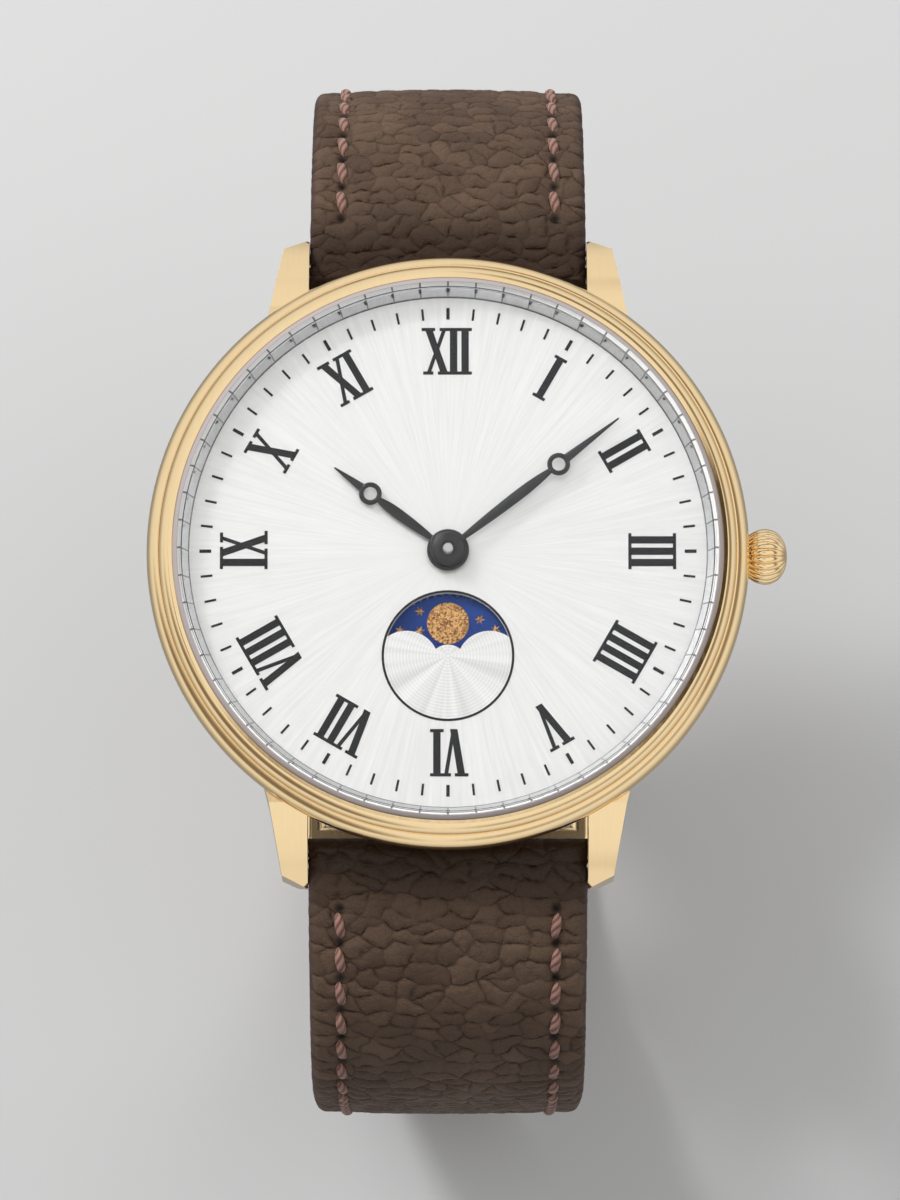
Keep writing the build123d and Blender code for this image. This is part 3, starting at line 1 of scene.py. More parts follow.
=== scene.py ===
"""Moon phase watch: its finishes, strap, hands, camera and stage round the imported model."""

from functools import cached_property
import json
import math

import bmesh
import bpy
import numpy as np
from mathutils import Matrix, Vector


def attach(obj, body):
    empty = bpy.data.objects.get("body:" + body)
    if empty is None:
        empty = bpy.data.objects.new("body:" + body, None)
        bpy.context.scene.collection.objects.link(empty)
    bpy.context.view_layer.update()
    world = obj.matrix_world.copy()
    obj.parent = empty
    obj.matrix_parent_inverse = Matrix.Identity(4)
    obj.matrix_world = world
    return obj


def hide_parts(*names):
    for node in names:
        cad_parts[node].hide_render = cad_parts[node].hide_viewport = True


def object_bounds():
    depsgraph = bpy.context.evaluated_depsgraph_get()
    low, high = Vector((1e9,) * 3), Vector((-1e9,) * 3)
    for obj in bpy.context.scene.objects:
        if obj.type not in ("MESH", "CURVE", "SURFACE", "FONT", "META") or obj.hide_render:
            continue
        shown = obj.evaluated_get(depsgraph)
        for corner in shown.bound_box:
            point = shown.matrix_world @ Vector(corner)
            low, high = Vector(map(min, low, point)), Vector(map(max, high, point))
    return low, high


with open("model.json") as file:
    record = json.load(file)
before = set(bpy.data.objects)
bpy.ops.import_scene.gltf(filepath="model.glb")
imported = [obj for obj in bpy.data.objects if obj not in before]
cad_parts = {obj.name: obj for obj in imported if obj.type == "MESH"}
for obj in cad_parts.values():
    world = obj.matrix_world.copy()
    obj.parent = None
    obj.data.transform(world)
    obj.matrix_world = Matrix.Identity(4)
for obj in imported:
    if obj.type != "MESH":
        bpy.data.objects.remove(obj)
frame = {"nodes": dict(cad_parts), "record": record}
cad_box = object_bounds()
nodes = frame["nodes"]
MM = 0.001


def srgb(red, green, blue):
    """Linear colour of a screen colour in 0 to 255."""
    shares = [level / 255 for level in (red, green, blue)]
    return tuple(s / 12.92 if s <= 0.04045 else ((s + 0.055) / 1.055) ** 2.4 for s in shares) + (1.0,)


def grey(level):
    return (level, level, level, 1.0)


# ---------------------------------------------------------------- camera

DIAL_HEIGHT = 5.4 * MM
LENS = 280.4
SENSOR = 36.0
CLIP_NEAR, CLIP_FAR = 0.01, 20.0
CAMERA_REACH = 0.6
CAMERA_LEAN = math.radians(10.35)
AIM_RIGHT = 0.13 * MM
AIM_DOWN = 3.1 * MM


def set_camera():
    """Camera over the dial, leaning towards 6 o'clock as the photograph's does."""
    away = Vector((0, -math.sin(CAMERA_LEAN), math.cos(CAMERA_LEAN)))
    up = Vector((0, math.cos(CAMERA_LEAN), math.sin(CAMERA_LEAN)))
    right = Vector((1, 0, 0))
    data = bpy.data.cameras.new("camera")
    data.lens = LENS
    data.sensor_width = SENSOR
    data.clip_start, data.clip_end = CLIP_NEAR, CLIP_FAR
    camera = bpy.data.objects.new("camera", data)
    camera.matrix_world = Matrix.Translation(
        Vector((0, 0, DIAL_HEIGHT)) + CAMERA_REACH * away + AIM_RIGHT * right - AIM_DOWN * up
    ) @ Matrix((right, up, away)).transposed().to_4x4()
    bpy.context.scene.collection.objects.link(camera)
    bpy.context.scene.camera = camera


set_camera()

# ---------------------------------------------------------------- node helpers

FLOAT, VECTOR, GEOMETRY = "NodeSocketFloat", "NodeSocketVector", "NodeSocketGeometry"
FINISH = "NodeSocketMaterial"


class Flow:
    """An output of a node that can be reckoned with; each step adds a node to its tree."""

    def __init__(self, tree, socket):
        self.tree, self.socket = tree, socket

    def __add__(self, other):
        return maths("ADD", self, other)

    def __sub__(self, other):
        return maths("SUBTRACT", self, other)

    def __rsub__(self, other):
        return maths("SUBTRACT", other, self)

    def __mul__(self, other):
        return maths("MULTIPLY", self, other)

    def __truediv__(self, other):
        return maths("DIVIDE", self, other)


class Node:
    """A node whose outputs are flows, by name or by number."""

    def __init__(self, tree, made):
        self.tree, self.made = tree, made

    def __getitem__(self, place):
        return Flow(self.tree, self.made.outputs[place])

    def feed(self, place, value):
        """Give an input a value, or the flow that feeds it."""
        if isinstance(value, Flow):
            self.tree.links.new(value.socket, self.made.inputs[place])
        else:
            self.made.inputs[place].default_value = value


def put(tree, kind, feeds=(), **settings):
    """Add a node, set it, and feed its inputs."""
    node = Node(tree, tree.nodes.new(kind))
    for name, value in settings.items():
        setattr(node.made, name, value)
    for place, value in dict(feeds).items():
        node.feed(place, value)
    return node


def tree_of(terms):
    """Tree of the first flow among some terms."""
    return next(term.tree for term in terms if isinstance(term, Flow))


def maths(operation, *terms):
    return put(tree_of(terms), "ShaderNodeMath", enumerate(terms), operation=operation)[0]


def vectors(operation, *terms):
    made = put(tree_of(terms), "ShaderNodeVectorMath", enumerate(terms), operation=operation)
    return made["Value" if operation == "LENGTH" else "Vector"]


def scaled(vector, scale):
    return put(vector.tree, "ShaderNodeVectorMath", {0: vector, "Scale": scale}, operation="SCALE")[0]


def parts(vector):
    """The three numbers of a vector."""
    node = put(vector.tree, "ShaderNodeSeparateXYZ", {0: vector})
    return node[0], node[1], node[2]


def joined(**numbers):
    """Vector of up to three numbers, called x, y and z."""
    feeds = {"xyz".index(axis): number for axis, number in numbers.items()}
    return put(tree_of(numbers.values()), "ShaderNodeCombineXYZ", feeds)[0]


def eased(value, low, high, start=0.0, end=1.0):
    """Value carried smoothly from the span low to high onto start to end."""
    feeds = {"Value": value, "From Min": low, "From Max": high, "To Min": start, "To Max": end}
    return put(value.tree, "ShaderNodeMapRange", feeds, interpolation_type="SMOOTHSTEP")[0]


def mixed(share, first, second):
    """Colour between two colours."""
    return put(share.tree, "ShaderNodeMix", {0: share, 6: first, 7: second}, data_type="RGBA")[2]


def noise(vector, scale, detail=3.0, roughness=0.5, distortion=0.0):
    feeds = {"Vector": vector, "Scale": scale, "Detail": detail, "Roughness": roughness,
             "Distortion": distortion}
    return put(vector.tree, "ShaderNodeTexNoise", feeds)


def cell_pattern(vector, scale, randomness=1.0, feature="DISTANCE_TO_EDGE", dimensions="2D"):
    feeds = {"Vector": vector, "Scale": scale, "Randomness": randomness}
    return put(vector.tree, "ShaderNodeTexVoronoi", feeds, voronoi_dimensions=dimensions, feature=feature)


def new_group(name, kind, inputs):
    """Empty node group, and the node that gives its inputs: each has a kind, or a number to start from."""
    tree = bpy.data.node_groups.new(name, kind)
    for label, start in inputs.items():
        kind_of = start if isinstance(start, str) else FLOAT
        made = tree.interface.new_socket(name=label, in_out="INPUT", socket_type=kind_of)
        if kind_of is not start:
            made.default_value = start
    return tree, Node(tree, tree.nodes.new("NodeGroupInput"))


def leave(tree, flows, kind=FLOAT):
    """Feed a group's named outputs, and give the group."""
    for label in flows:
        tree.interface.new_socket(name=label, in_out="OUTPUT", socket_type=kind)
    end = Node(tree, tree.nodes.new("NodeGroupOutput"))
    for label, flow in flows.items():
        end.feed(label, flow)
    return tree


def carried(tree, name):
    """Vector that a mesh carries under a name."""
    return put(tree, "ShaderNodeAttribute", attribute_name=name)["Vector"]


# ---------------------------------------------------------------- shared effects


def make_turned_lines():
    """Lines that a turning tool or brush leaves: rays from a centre, and rings about it."""
    tree, entry = new_group("turned_lines", "ShaderNodeTree",
                            {"Place": VECTOR, "Centre": VECTOR, "Ray Count": 90.0, "Ring Pitch": 0.1})
    arm = vectors("MULTIPLY", vectors("SUBTRACT", entry["Place"], entry["Centre"]), (1, 1, 0))
    distance = vectors("LENGTH", arm)
    east, north, _ = parts(vectors("NORMALIZE", arm))
    ray_place = joined(x=east, y=north, z=distance * 0.0035)
    swell = maths("SINE", distance / entry["Ring Pitch"] * math.tau)
    return leave(tree, {
        "Rays": noise(ray_place, entry["Ray Count"], 4.0, 0.65)[0],
        "Broad Rays": noise(ray_place, entry["Ray Count"] * 0.12, 2.0)[0],
        "Rings": maths("MULTIPLY_ADD", swell, 0.5, 0.5),
        "Distance": distance,
    })


def make_handling():
    """Faint wiping marks and fine specks of a surface that has been handled."""
    tree, entry = new_group("handling", "ShaderNodeTree", {"Place": VECTOR, "Mark Size": 1.0})
    near = vectors("DIVIDE", entry["Place"], entry["Mark Size"])
    drawn = vectors("MULTIPLY", near, (3.0, 0.5, 0.8))
    return leave(tree, {
        "Marks": noise(drawn, 1.0, 5.0, 0.6, 0.4)[0],
        "Specks": noise(near, 9.0, 2.0, 0.6)[0],
    })


CELL_WIDTH, CELL_LENGTH, CELL_WANDER = 1.75, 1.0, 1.6
CREASE_WIDTH, CREASE_DEPTH, SIDE_CREASE, PEBBLE_RISE = 0.16, 0.13, 0.4, 0.075


def grain_cells(place):
    """The hide's cells: distance to the nearest crease, shade, distance to a lesser crease, and depth.

    Cells are wider across the strap than along it, and the creases that run along it are shallower.
    """
    wander = vectors("SUBTRACT", noise(place, 0.42, 2.0, 0.6)[1], (0.5, 0.5, 0.5))
    bend = vectors("MULTIPLY", wander, (CELL_WANDER, CELL_WANDER, 0))
    cells = vectors("DIVIDE", vectors("ADD", place, bend), (CELL_WIDTH, CELL_LENGTH, 1e6))
    edge = cell_pattern(cells, 1.0, 0.88)["Distance"]
    cell = cell_pattern(cells, 1.0, 0.88, "F1")
    small = cell_pattern(cells, 2.2)["Distance"]
    sideways, lengthwise, _ = parts(vectors("ABSOLUTE", vectors("SUBTRACT", cells, cell["Position"])))
    side_share = sideways / (sideways + lengthwise + 0.001)
    patchy = eased(noise(place, 0.75, 2.0)[0], 0.36, 0.58, 0.35, 1.0)
    return edge, cell["Color"], small, patchy * eased(side_share, 0.5, 0.85, 1.0, SIDE_CREASE)


def make_hide_grain():
    """Grain of the calf leather: creases between pebbles, each with its own shade, and fine pores."""
    tree, entry = new_group("hide_grain", "ShaderNodeTree", {"Place": VECTOR})
    edge, tone, small, depth = grain_cells(vectors("MULTIPLY", entry["Place"], (1, 1, 0)))
    crease = maths("MAXIMUM", eased(edge, 0.0, CREASE_WIDTH * 0.62, 1.0, 0.0) * depth,
                   eased(small, 0.0, 0.1, 0.3, 0.0) * depth)
    fine = noise(entry["Place"], 5.5, 4.0, 0.65)[0]
    folds = eased(cell_pattern(entry["Place"], 2.6, dimensions="3D")["Distance"], 0.0, 0.12)
    return leave(tree, {
        "Crease": crease,
        "Pebble Shade": put(tree, "ShaderNodeSeparateColor", {0: tone})[0],
        "Pores": fine,
        "Height": fine * 0.5 + folds * 0.22 - crease * 0.9,
    })


def make_minute_lines():
    """Short radial lines at the sixty minutes."""
    tree, entry = new_group("minute_lines", "ShaderNodeTree", {"Place": VECTOR, "Half Width": 0.05})
    flat = vectors("MULTIPLY", entry["Place"], (1, 1, 0))
    east, north, _ = parts(flat)
    distance = vectors("LENGTH", flat)
    minutes = maths("ARCTAN2", east, north) * (60 / math.tau)
    away = maths("ABSOLUTE", minutes - maths("ROUND", minutes))
    gap = away * (math.tau / 60) * distance
    return leave(tree, {"Line": eased(gap / entry["Half Width"], 0.7, 1.3, 1.0, 0.0), "Distance": distance})


turned_lines = make_turned_lines()
handling = make_handling()
hide_grain = make_hide_grain()
minute_lines = make_minute_lines()

# ---------------------------------------------------------------- finishes

finishes = {}


class Finish:
    """A material with one shader, whose plain values are set on its sockets."""

    def __init__(self, name, **values):
        finishes[name] = bpy.data.materials.new(name)
        finishes[name].use_nodes = True
        self.tree = finishes[name].node_tree
        self.tree.nodes.clear()
        self.shader = put(self.tree, "ShaderNodeBsdfPrincipled",
                          {label.replace("_", " "): value for label, value in values.items()})
        self.end = put(self.tree, "ShaderNodeOutputMaterial", {0: self.shader[0]})

    @cached_property
    def place(self):
        """Place on the watch in millimetres."""
        return scaled(put(self.tree, "ShaderNodeTexCoord")["Object"], 1 / MM)

    def group(self, group, place=None, **values):
        """Shared effect at a place, or at the finish's own."""
        feeds = {label.replace("_", " "): value for label, value in values.items()}
        return put(self.tree, "ShaderNodeGroup", {"Place": place or self.place} | feeds, node_tree=group)

    def handled(self, mark_size):
        """Its wiping marks and its specks."""
        marks = self.group(handling, Mark_Size=mark_size)
        return marks["Marks"], marks["Specks"]

    def colour(self, share, first, second):
        self.shader.feed("Base Color", mixed(share, first, second))

    def rough(self, value):
        self.shader.feed("Roughness", value)

    def raised(self, height, depth):
        """Bump of a real depth in millimetres."""
        bump = put(self.tree, "ShaderNodeBump", {"Height": height, "Distance": depth * MM, "Strength": 1.0})
        self.shader.feed("Normal", bump[0])


def polished(name, deep, bright, roughness):
    """Polished metal with faint wiping marks."""
    finish = Finish(name, Metallic=1.0)
    marks, specks = finish.handled(1.0)
    finish.colour(marks, deep, bright)
    finish.rough(eased(marks, 0.35, 0.7, roughness * 0.7, roughness * 1.6))
    finish.raised(specks, 0.0006)


def satin(name, dark, light, roughness, metallic=0.0, depth=0.004, mark_size=0.6, gloss=0.5):
    """Satin or moulded surface: an even tone with fine specks."""
    finish = Finish(name, Metallic=metallic, Specular_IOR_Level=gloss)
    marks, specks = finish.handled(mark_size)
    finish.colour(specks, dark, light)
    finish.rough(eased(marks, 0.3, 0.7, roughness * 0.85, roughness * 1.15))
    finish.raised(specks, depth)


def turned(name, dark, light, roughness, ring_pitch, depth):
    """Turned metal: fine rings about the watch's middle."""
    finish = Finish(name, Metallic=1.0)
    lines = finish.group(turned_lines, Ring_Pitch=ring_pitch)
    marks, _ = finish.handled(1.4)
    fine = noise(joined(x=lines["Distance"]), 14.0, 4.0, 0.7)[0]
    finish.colour(fine * marks, dark, light)
    finish.rough(eased(marks, 0.3, 0.7, roughness * 0.85, roughness * 1.2))
    finish.raised(fine + lines["Rings"] * 0.4, depth)


MOON_DIAL_PLACE = (0, -6.8, 0)
MOON_DIAL_R = 4.08


def make_dial_silver():
    """Silvered dial: rays from the centre, and fine turned rings with painted sheen inside the moon
    display's ring.
    """
    finish = Finish("dial_silver", Metallic=0.55)
    rays = finish.group(turned_lines, Ray_Count=62.0)
    rings = finish.group(turned_lines, Centre=MOON_DIAL_PLACE, Ray_Count=30.0, Ring_Pitch=0.21)
    inside = eased(rings["Distance"], MOON_DIAL_R - 0.02, MOON_DIAL_R + 0.02, 1.0, 0.0)
    fade = eased(rays["Distance"], 0.4, 7.0, 0.25, 1.0)
    streak = maths("MULTIPLY_ADD", rays["Rays"] - 0.5, fade, 0.5)
    broad = streak * 0.78 + rays["Broad Rays"] * 0.22
    face = mixed(eased(broad, 0.3, 0.7), grey(0.735), grey(0.815))
    # Painted sheen inside the moon display's ring: the broad rays brighten it in cones about its centre,
    # over the real turned rings.
    rings_and_painted_sheen = rings["Rings"] * 0.34 + eased(rings["Broad Rays"], 0.3, 0.7) * 0.66
    finish.colour(inside, face, mixed(rings_and_painted_sheen, grey(0.60), grey(0.85)))
    finish.rough(eased(streak, 0.3, 0.7, 0.42, 0.30))
    finish.raised(streak * (1.0 - inside) + rings["Rings"] * inside, 0.004)


def make_moon_blue():
    """Blue enamel of the sky, a little paler away from the moon."""
    finish = Finish("moon_blue", Metallic=0.2, Roughness=0.32, Specular_IOR_Level=0.2)
    _, specks = finish.handled(0.35)
    share = eased(parts(finish.place)[1], -6.0, -3.0, 0.0, 0.6) + specks * 0.4
    finish.colour(share, srgb(20, 44, 104), srgb(34, 68, 136))
    finish.raised(specks, 0.003)


def make_moon_gold():
    """Grainy gold foil of the moons and the stars."""
    finish = Finish("moon_gold", Metallic=0.85)
    grit = noise(finish.place, 7.2, 3.0, 0.8)[0]
    finish.colour(eased(grit, 0.40, 0.60), srgb(118, 76, 38), srgb(228, 180, 122))
    finish.rough(eased(grit, 0.35, 0.65, 0.5, 0.32))
    finish.raised(grit, 0.06)


CRYSTAL_IOR = 1.2  # low, as on glass that is coated against glare


def make_crystal_glass():
    """Clear glass, coated against glare, that lets the lamps' light through to the dial."""
    finish = Finish("crystal_glass", Base_Color=(0.985, 0.99, 0.99, 1), Transmission_Weight=1.0,
                    IOR=CRYSTAL_IOR, Metallic=0.0)
    marks, _ = finish.handled(2.0)
    finish.rough(eased(marks, 0.3, 0.75, 0.0, 0.012))
    clear = put(finish.tree, "ShaderNodeBsdfTransparent", {0: grey(0.96)})[0]
    shadow = put(finish.tree, "ShaderNodeLightPath")["Is Shadow Ray"]
    both = put(finish.tree, "ShaderNodeMixShader", {0: shadow, 1: finish.shader[0], 2: clear})
    finish.end.feed(0, both[0])


def make_flange_silver():
    """Polished grey cone round the dial, with a fine line at each minute."""
    finish = Finish("flange_silver", Metallic=1.0)
    marks, _ = finish.handled(0.5)
    lines = finish.group(minute_lines, Half_Width=0.05)
    bare = mixed(marks, (0.58, 0.585, 0.60, 1), (0.76, 0.765, 0.78, 1))
    foot = eased(lines["Distance"], 16.62, 16.7, 1.0, 0.0)
    finish.colour(maths("MAXIMUM", lines["Line"] * 0.6, foot), bare, grey(0.10))
    finish.rough(eased(marks, 0.3, 0.7, 0.10, 0.16))


SEAT_INNER_R, LENS_R, SEAT_OUTER_R = 17.07, 17.36, 17.66


def make_gasket_nylon():
    """Gasket round the crystal: a pink-grey rim, and a white shelf under the crystal's bevel with painted
    reflections of the minute ticks.
    """
    finish = Finish("gasket_nylon", Specular_IOR_Level=0.4)
    marks, specks = finish.handled(0.3)
    lines = finish.group(minute_lines, Half_Width=0.06)
    rim = mixed(specks, (0.44, 0.385, 0.38, 1), (0.56, 0.50, 0.49, 1))
    # The dark lines on the white shelf are painted reflections of the minute ticks.
    shelf = mixed(lines["Line"] * 0.85, grey(0.86), grey(0.05))
    share = eased(lines["Distance"], LENS_R - 0.03, LENS_R + 0.01)
    inner = eased(lines["Distance"], SEAT_INNER_R + 0.03, SEAT_INNER_R + 0.07)
    finish.colour(share, mixed(inner, grey(0.05), shelf), rim)
    finish.rough(eased(marks, 0.3, 0.7, 0.36, 0.44))
    finish.raised(specks, 0.002)


CASE_SHADE_RUN = 5.0


def make_strap_leather():
    """Grained brown calf with its edge paint, and painted shade in its creases, towards the case and in the
    stitch holes.
    """
    finish = Finish("strap_leather", Specular_IOR_Level=0.26)
    place = carried(finish.tree, "place")
    grain = finish.group(hide_grain, place)
    patches = noise(place, 0.22, 3.0, 0.55)[0]
    tone = grain["Pebble Shade"] * 0.22 + (patches * 0.55 + grain["Pores"] * 0.3)
    hide = mixed(eased(tone, 0.25, 0.85), srgb(77, 59, 47), srgb(108, 87, 71))
    # Painted shade in the creases of the grain: the hide darkens where a crease runs.
    crease_shaded = mixed(grain["Crease"] * 0.5, hide, srgb(38, 27, 20))
    # Painted shade towards the case: the hide darkens near the bar, where the case shades the strap.
    painted_case_shade = eased(parts(place)[1], 0.3, CASE_SHADE_RUN, 0.8, 0.0)
    shaded = mixed(painted_case_shade, crease_shaded, srgb(44, 31, 23))
    # The painted share is the edge paint's own colour; the hole share is painted shade in the stitch holes.
    painted, hole, _ = parts(carried(finish.tree, "edge_paint_and_hole_shade"))
    finish.colour(hole, mixed(painted * 0.8, shaded, srgb(70, 52, 50)), srgb(14, 10, 9))
    finish.rough(eased(grain["Pores"], 0.3, 0.7, 0.44, 0.58) + grain["Crease"] * 0.15)
    finish.raised(grain["Height"], 0.055)


def plain_leather(name, dark, light, pore_depth):
    """Smooth leather with pores and a faint drift of tone."""
    finish = Finish(name, Specular_IOR_Level=0.4, Sheen_Weight=0.05)
    drift = noise(finish.place, 0.35, 3.0, 0.6)[0]
    pores = noise(finish.place, 7.0, 4.0, 0.7)[0]
    finish.colour(eased(drift * 0.6 + pores * 0.4, 0.3, 0.7), dark, light)
    finish.rough(eased(pores, 0.3, 0.7, 0.45, 0.62))
    finish.raised(pores, pore_depth)


THREAD_PLIES, THREAD_TWIST = 3.0, 17.0


def make_thread():
    """Waxed brown-pink thread, with painted highlight on each ply's raised crown and painted shade between
    the plies.
    """
    finish = Finish("thread", Roughness=0.62, Specular_IOR_Level=0.35, Sheen_Weight=0.25,
                    Sheen_Roughness=0.4)
    fibres = noise(finish.place, 11.0, 4.0, 0.7)[0]
    cosine, sine, along = parts(carried(finish.tree, "strand"))
    wound = maths("ARCTAN2", sine, cosine) * THREAD_PLIES + along * THREAD_TWIST
    ply = maths("MULTIPLY_ADD", maths("COSINE", wound), 0.5, 0.5)
    ply_relief_and_shade = maths("SQRT", maths("MAXIMUM", ply, 0.0))
    # Painted highlight on the ply crowns and painted shade in the grooves between plies; the same pattern
    # also raises the thread.
    finish.colour(ply_relief_and_shade * 0.62 + fibres * 0.38, srgb(62, 39, 35), srgb(190, 144, 129))
    finish.raised(ply_relief_and_shade + fibres * 0.3, 0.09)


def make_hand_black():
    """Black satin lacquer of the hands."""
    finish = Finish("hand_black", Metallic=0.0, Specular_IOR_Level=0.4, Coat_Weight=0.15,
                    Coat_Roughness=0.2)
    marks, specks = finish.handled(0.3)
    finish.colour(specks, srgb(24, 25, 27), srgb(38, 39, 41))
    finish.rough(eased(marks, 0.3, 0.7, 0.3, 0.42))
    finish.raised(specks, 0.002)


polished("gold", (0.91, 0.68, 0.37, 1), (0.97, 0.76, 0.46, 1), roughness=0.09)
turned("steel", grey(0.50), grey(0.80), roughness=0.24, ring_pitch=0.5, depth=0.006)
turned("wheel_brass", (0.55, 0.40, 0.17, 1), (0.80, 0.63, 0.33, 1),
       roughness=0.26, ring_pitch=0.3, depth=0.004)
satin("nickel", (0.50, 0.49, 0.46, 1), (0.66, 0.65, 0.62, 1), roughness=0.3, metallic=1.0)
satin("coil_copper", (0.42, 0.17, 0.07, 1), (0.68, 0.34, 0.17, 1), roughness=0.32, metallic=1.0, depth=0.02)
satin("board_green", (0.02, 0.13, 0.06, 1), (0.05, 0.24, 0.12, 1), roughness=0.38)
satin("white_plastic", grey(0.66), grey(0.76), roughness=0.5)
satin("gasket_rubber", grey(0.02), grey(0.035), roughness=0.6)
satin("print_black", srgb(28, 29, 31), srgb(40, 41, 43), roughness=0.42, depth=0.002, mark_size=0.3,
      gloss=0.2)
plain_leather("lining_leather", srgb(104, 74, 50), srgb(136, 100, 70), pore_depth=0.03)
plain_leather("keeper_leather", srgb(62, 45, 35), srgb(92, 70, 56), pore_depth=0.05)
for make in (make_dial_silver, make_flange_silver, make_crystal_glass, make_hand_black, make_moon_blue,
             make_moon_gold, make_gasket_nylon, make_strap_leather, make_thread):
    make()

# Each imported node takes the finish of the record's material slot that it was packed with
for part in frame["record"]["subparts"]:
    materials = nodes[part["node"]].data.materials
    materials.clear()
    materials.append(finishes[part["material_slot"]])


# ---------------------------------------------------------------- mesh helpers


def add_object(name, data):
    thing = bpy.data.objects.new(name, data)
    bpy.context.scene.collection.objects.link(thing)
    return thing


def shade(mesh, smooth):
    mesh.polygons.foreach_set("use_smooth", [smooth] * len(mesh.polygons))


def new_piece(name, points, faces, finish, smooth=True):
    """Mesh object from points in millimetres."""
    mesh = bpy.data.meshes.new(name)
    mesh.from_pydata(np.asarray(points, float).reshape(-1, 3) * MM, [], faces)
    shade(mesh, smooth)
    mesh.materials.append(finishes[finish])
    return add_object(name, mesh)


def hand_over(piece, body, node=None, sharp=None):
    """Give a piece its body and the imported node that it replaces.

    Edges that turn by more than the angle sharp, in degrees, stay sharp.
    """
    if sharp:
        piece.data.set_sharp_from_angle(angle=math.radians(sharp))
    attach(piece, body)
    if node:
        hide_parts(node)


def places_of(mesh):
    """Places of a mesh's points in millimetres."""
    flat = np.zeros(len(mesh.vertices) * 3)
    mesh.vertices.foreach_get("co", flat)
    return flat.reshape(-1, 3) / MM


def ring_faces(rows, columns, first, spans):
    """Faces between neighbouring rings of points, for some spans between rings."""
    def corner(row, column):
        return first + row % rows * columns + column % columns

    return [(corner(row, column), corner(row, column + 1),
             corner(row + 1, column + 1), corner(row + 1, column))
            for row in range(spans) for column in range(columns)]


def tube_faces(rows, columns, first=0):
    """Faces of a closed tube of rings, with a face over each end."""
    last = first + (rows - 1) * columns
    ends = [tuple(range(first, first + columns))[::-1], tuple(range(last, last + columns))]
    return ring_faces(rows, columns, first, rows - 1) + ends


def loop_faces(rows, columns, first=0):
    """Faces of a closed ring of sections, as on a torus."""
    return ring_faces(rows, columns, first, rows)


def facing_out(piece):
    """Turn a closed mesh's faces outwards if they point in."""
    mesh = piece.data
    mesh.calc_loop_triangles()
    corners = np.zeros(len(mesh.loop_triangles) * 3, np.int32)
    mesh.loop_triangles.foreach_get("vertices", corners)
    places = places_of(mesh)
    a, b, c = (places[corners.reshape(-1, 3)[:, count]] for count in range(3))
    if np.einsum("ij,ij->i", a, np.cross(b, c)).sum() < 0:
        mesh.flip_normals()
    return piece


def outward_shells(piece):
    """Recalculate the outside of each closed shell of a piece."""
    shape = bmesh.new()
    shape.from_mesh(piece.data)
    bmesh.ops.recalc_face_normals(shape, faces=shape.faces)
    shape.to_mesh(piece.data)
    shape.free()


def bake(piece):
    """Keep the mesh that a piece's modifiers make, and drop the modifiers."""
    graph = bpy.context.evaluated_depsgraph_get()
    made = bpy.data.meshes.new_from_object(piece.evaluated_get(graph))
    piece.modifiers.clear()
    piece.data = made


def set_field(mesh, name, values):
    """Have a mesh carry a number or a vector for each point, under a name."""
    flat = np.ascontiguousarray(values, np.float32).ravel()
    is_vector = flat.size == 3 * len(mesh.vertices)
    kind = "FLOAT_VECTOR" if is_vector else "FLOAT"
    field = mesh.attributes.get(name) or mesh.attributes.new(name, kind, "POINT")
    field.data.foreach_set("vector" if is_vector else "value", flat)


def run_tree(piece, tree, values):
    """Give a piece a Geometry Nodes tree, set its named inputs, and keep the result."""
    modifier = piece.modifiers.new(tree.name, "NODES")
    modifier.node_group = tree
    for item in tree.interface.items_tree:
        if item.in_out == "INPUT" and item.name in values:
            modifier[item.identifier] = values[item.name]
    bake(piece)


def carried_by_mesh(tree, name, kind="FLOAT_VECTOR"):
    """Values that a mesh carries under a name, inside a Geometry Nodes tree."""
    return put(tree, "GeometryNodeInputNamedAttribute", {"Name": name}, data_type=kind)["Attribute"]


def moved_by(tree, shape, direction, distance):
    """Shape with its points moved along a direction by a distance in metres."""
    feeds = {"Geometry": shape, "Offset": scaled(direction, distance)}
    return put(tree, "GeometryNodeSetPosition", feeds)[0]


def leave_shape(tree, shape, finish):
    """End a Geometry Nodes tree: real instances in one finish."""
    real = put(tree, "GeometryNodeRealizeInstances", {"Geometry": shape})
    coloured = put(tree, "GeometryNodeSetMaterial", {"Geometry": real[0], "Material": finish})
    return leave(tree, {"Geometry": coloured[0]}, GEOMETRY)


def circle_through(a, b, c):
    """Centre and radius of the circle through three points."""
    (ax, ay), (bx, by), (cx, cy) = a, b, c
    d = 2 * (ax * (by - cy) + bx * (cy - ay) + cx * (ay - by))
    aa, bb, cc = ax * ax + ay * ay, bx * bx + by * by, cx * cx + cy * cy
    mx = (aa * (by - cy) + bb * (cy - ay) + cc * (ay - by)) / d
    my = (aa * (cx - bx) + bb * (ax - cx) + cc * (bx - ax)) / d
    return mx, my, math.hypot(ax - mx, ay - my)


# ---------------------------------------------------------------- strap line

BAR_OUT, BAR_HEIGHT = 19.7, 0.95
STRAP_THICK, STRAP_THIN, THIN_RUN = 3.5, 2.3, 46.0
LUG_WIDTH, END_WIDTH = 17.95, 16.0
FLAT_CROWN, FULL_CROWN = 0.02, 0.35
EDGE_R = 0.75
LINING_T, LINING_GAP, LINING_INSET, LINING_START = 0.6, 0.02, 0.1, 2.3
LINING_SOFT, LINING_ROW_STEP = 0.16, 0.7
TURN_UNDER, TURN_UNDER_EASE = 0.25, 0.2
BAR_TUNNEL_R = 0.83
BUCKLE_TUNNEL_R = 0.66
SLOT_HALF, SLOT_DEPTH = 1.2, 4.2
TIP_LENGTH = 9.0
TIP_ROOT_HALF, TIP_MIDDLE_HALF, TIP_END_HALF = 9.0, 5.25, 1.5
HOLE_R, HOLE_PITCH, HOLE_FIRST, HOLE_COUNT = 0.9, 6.5, 24.0, 7
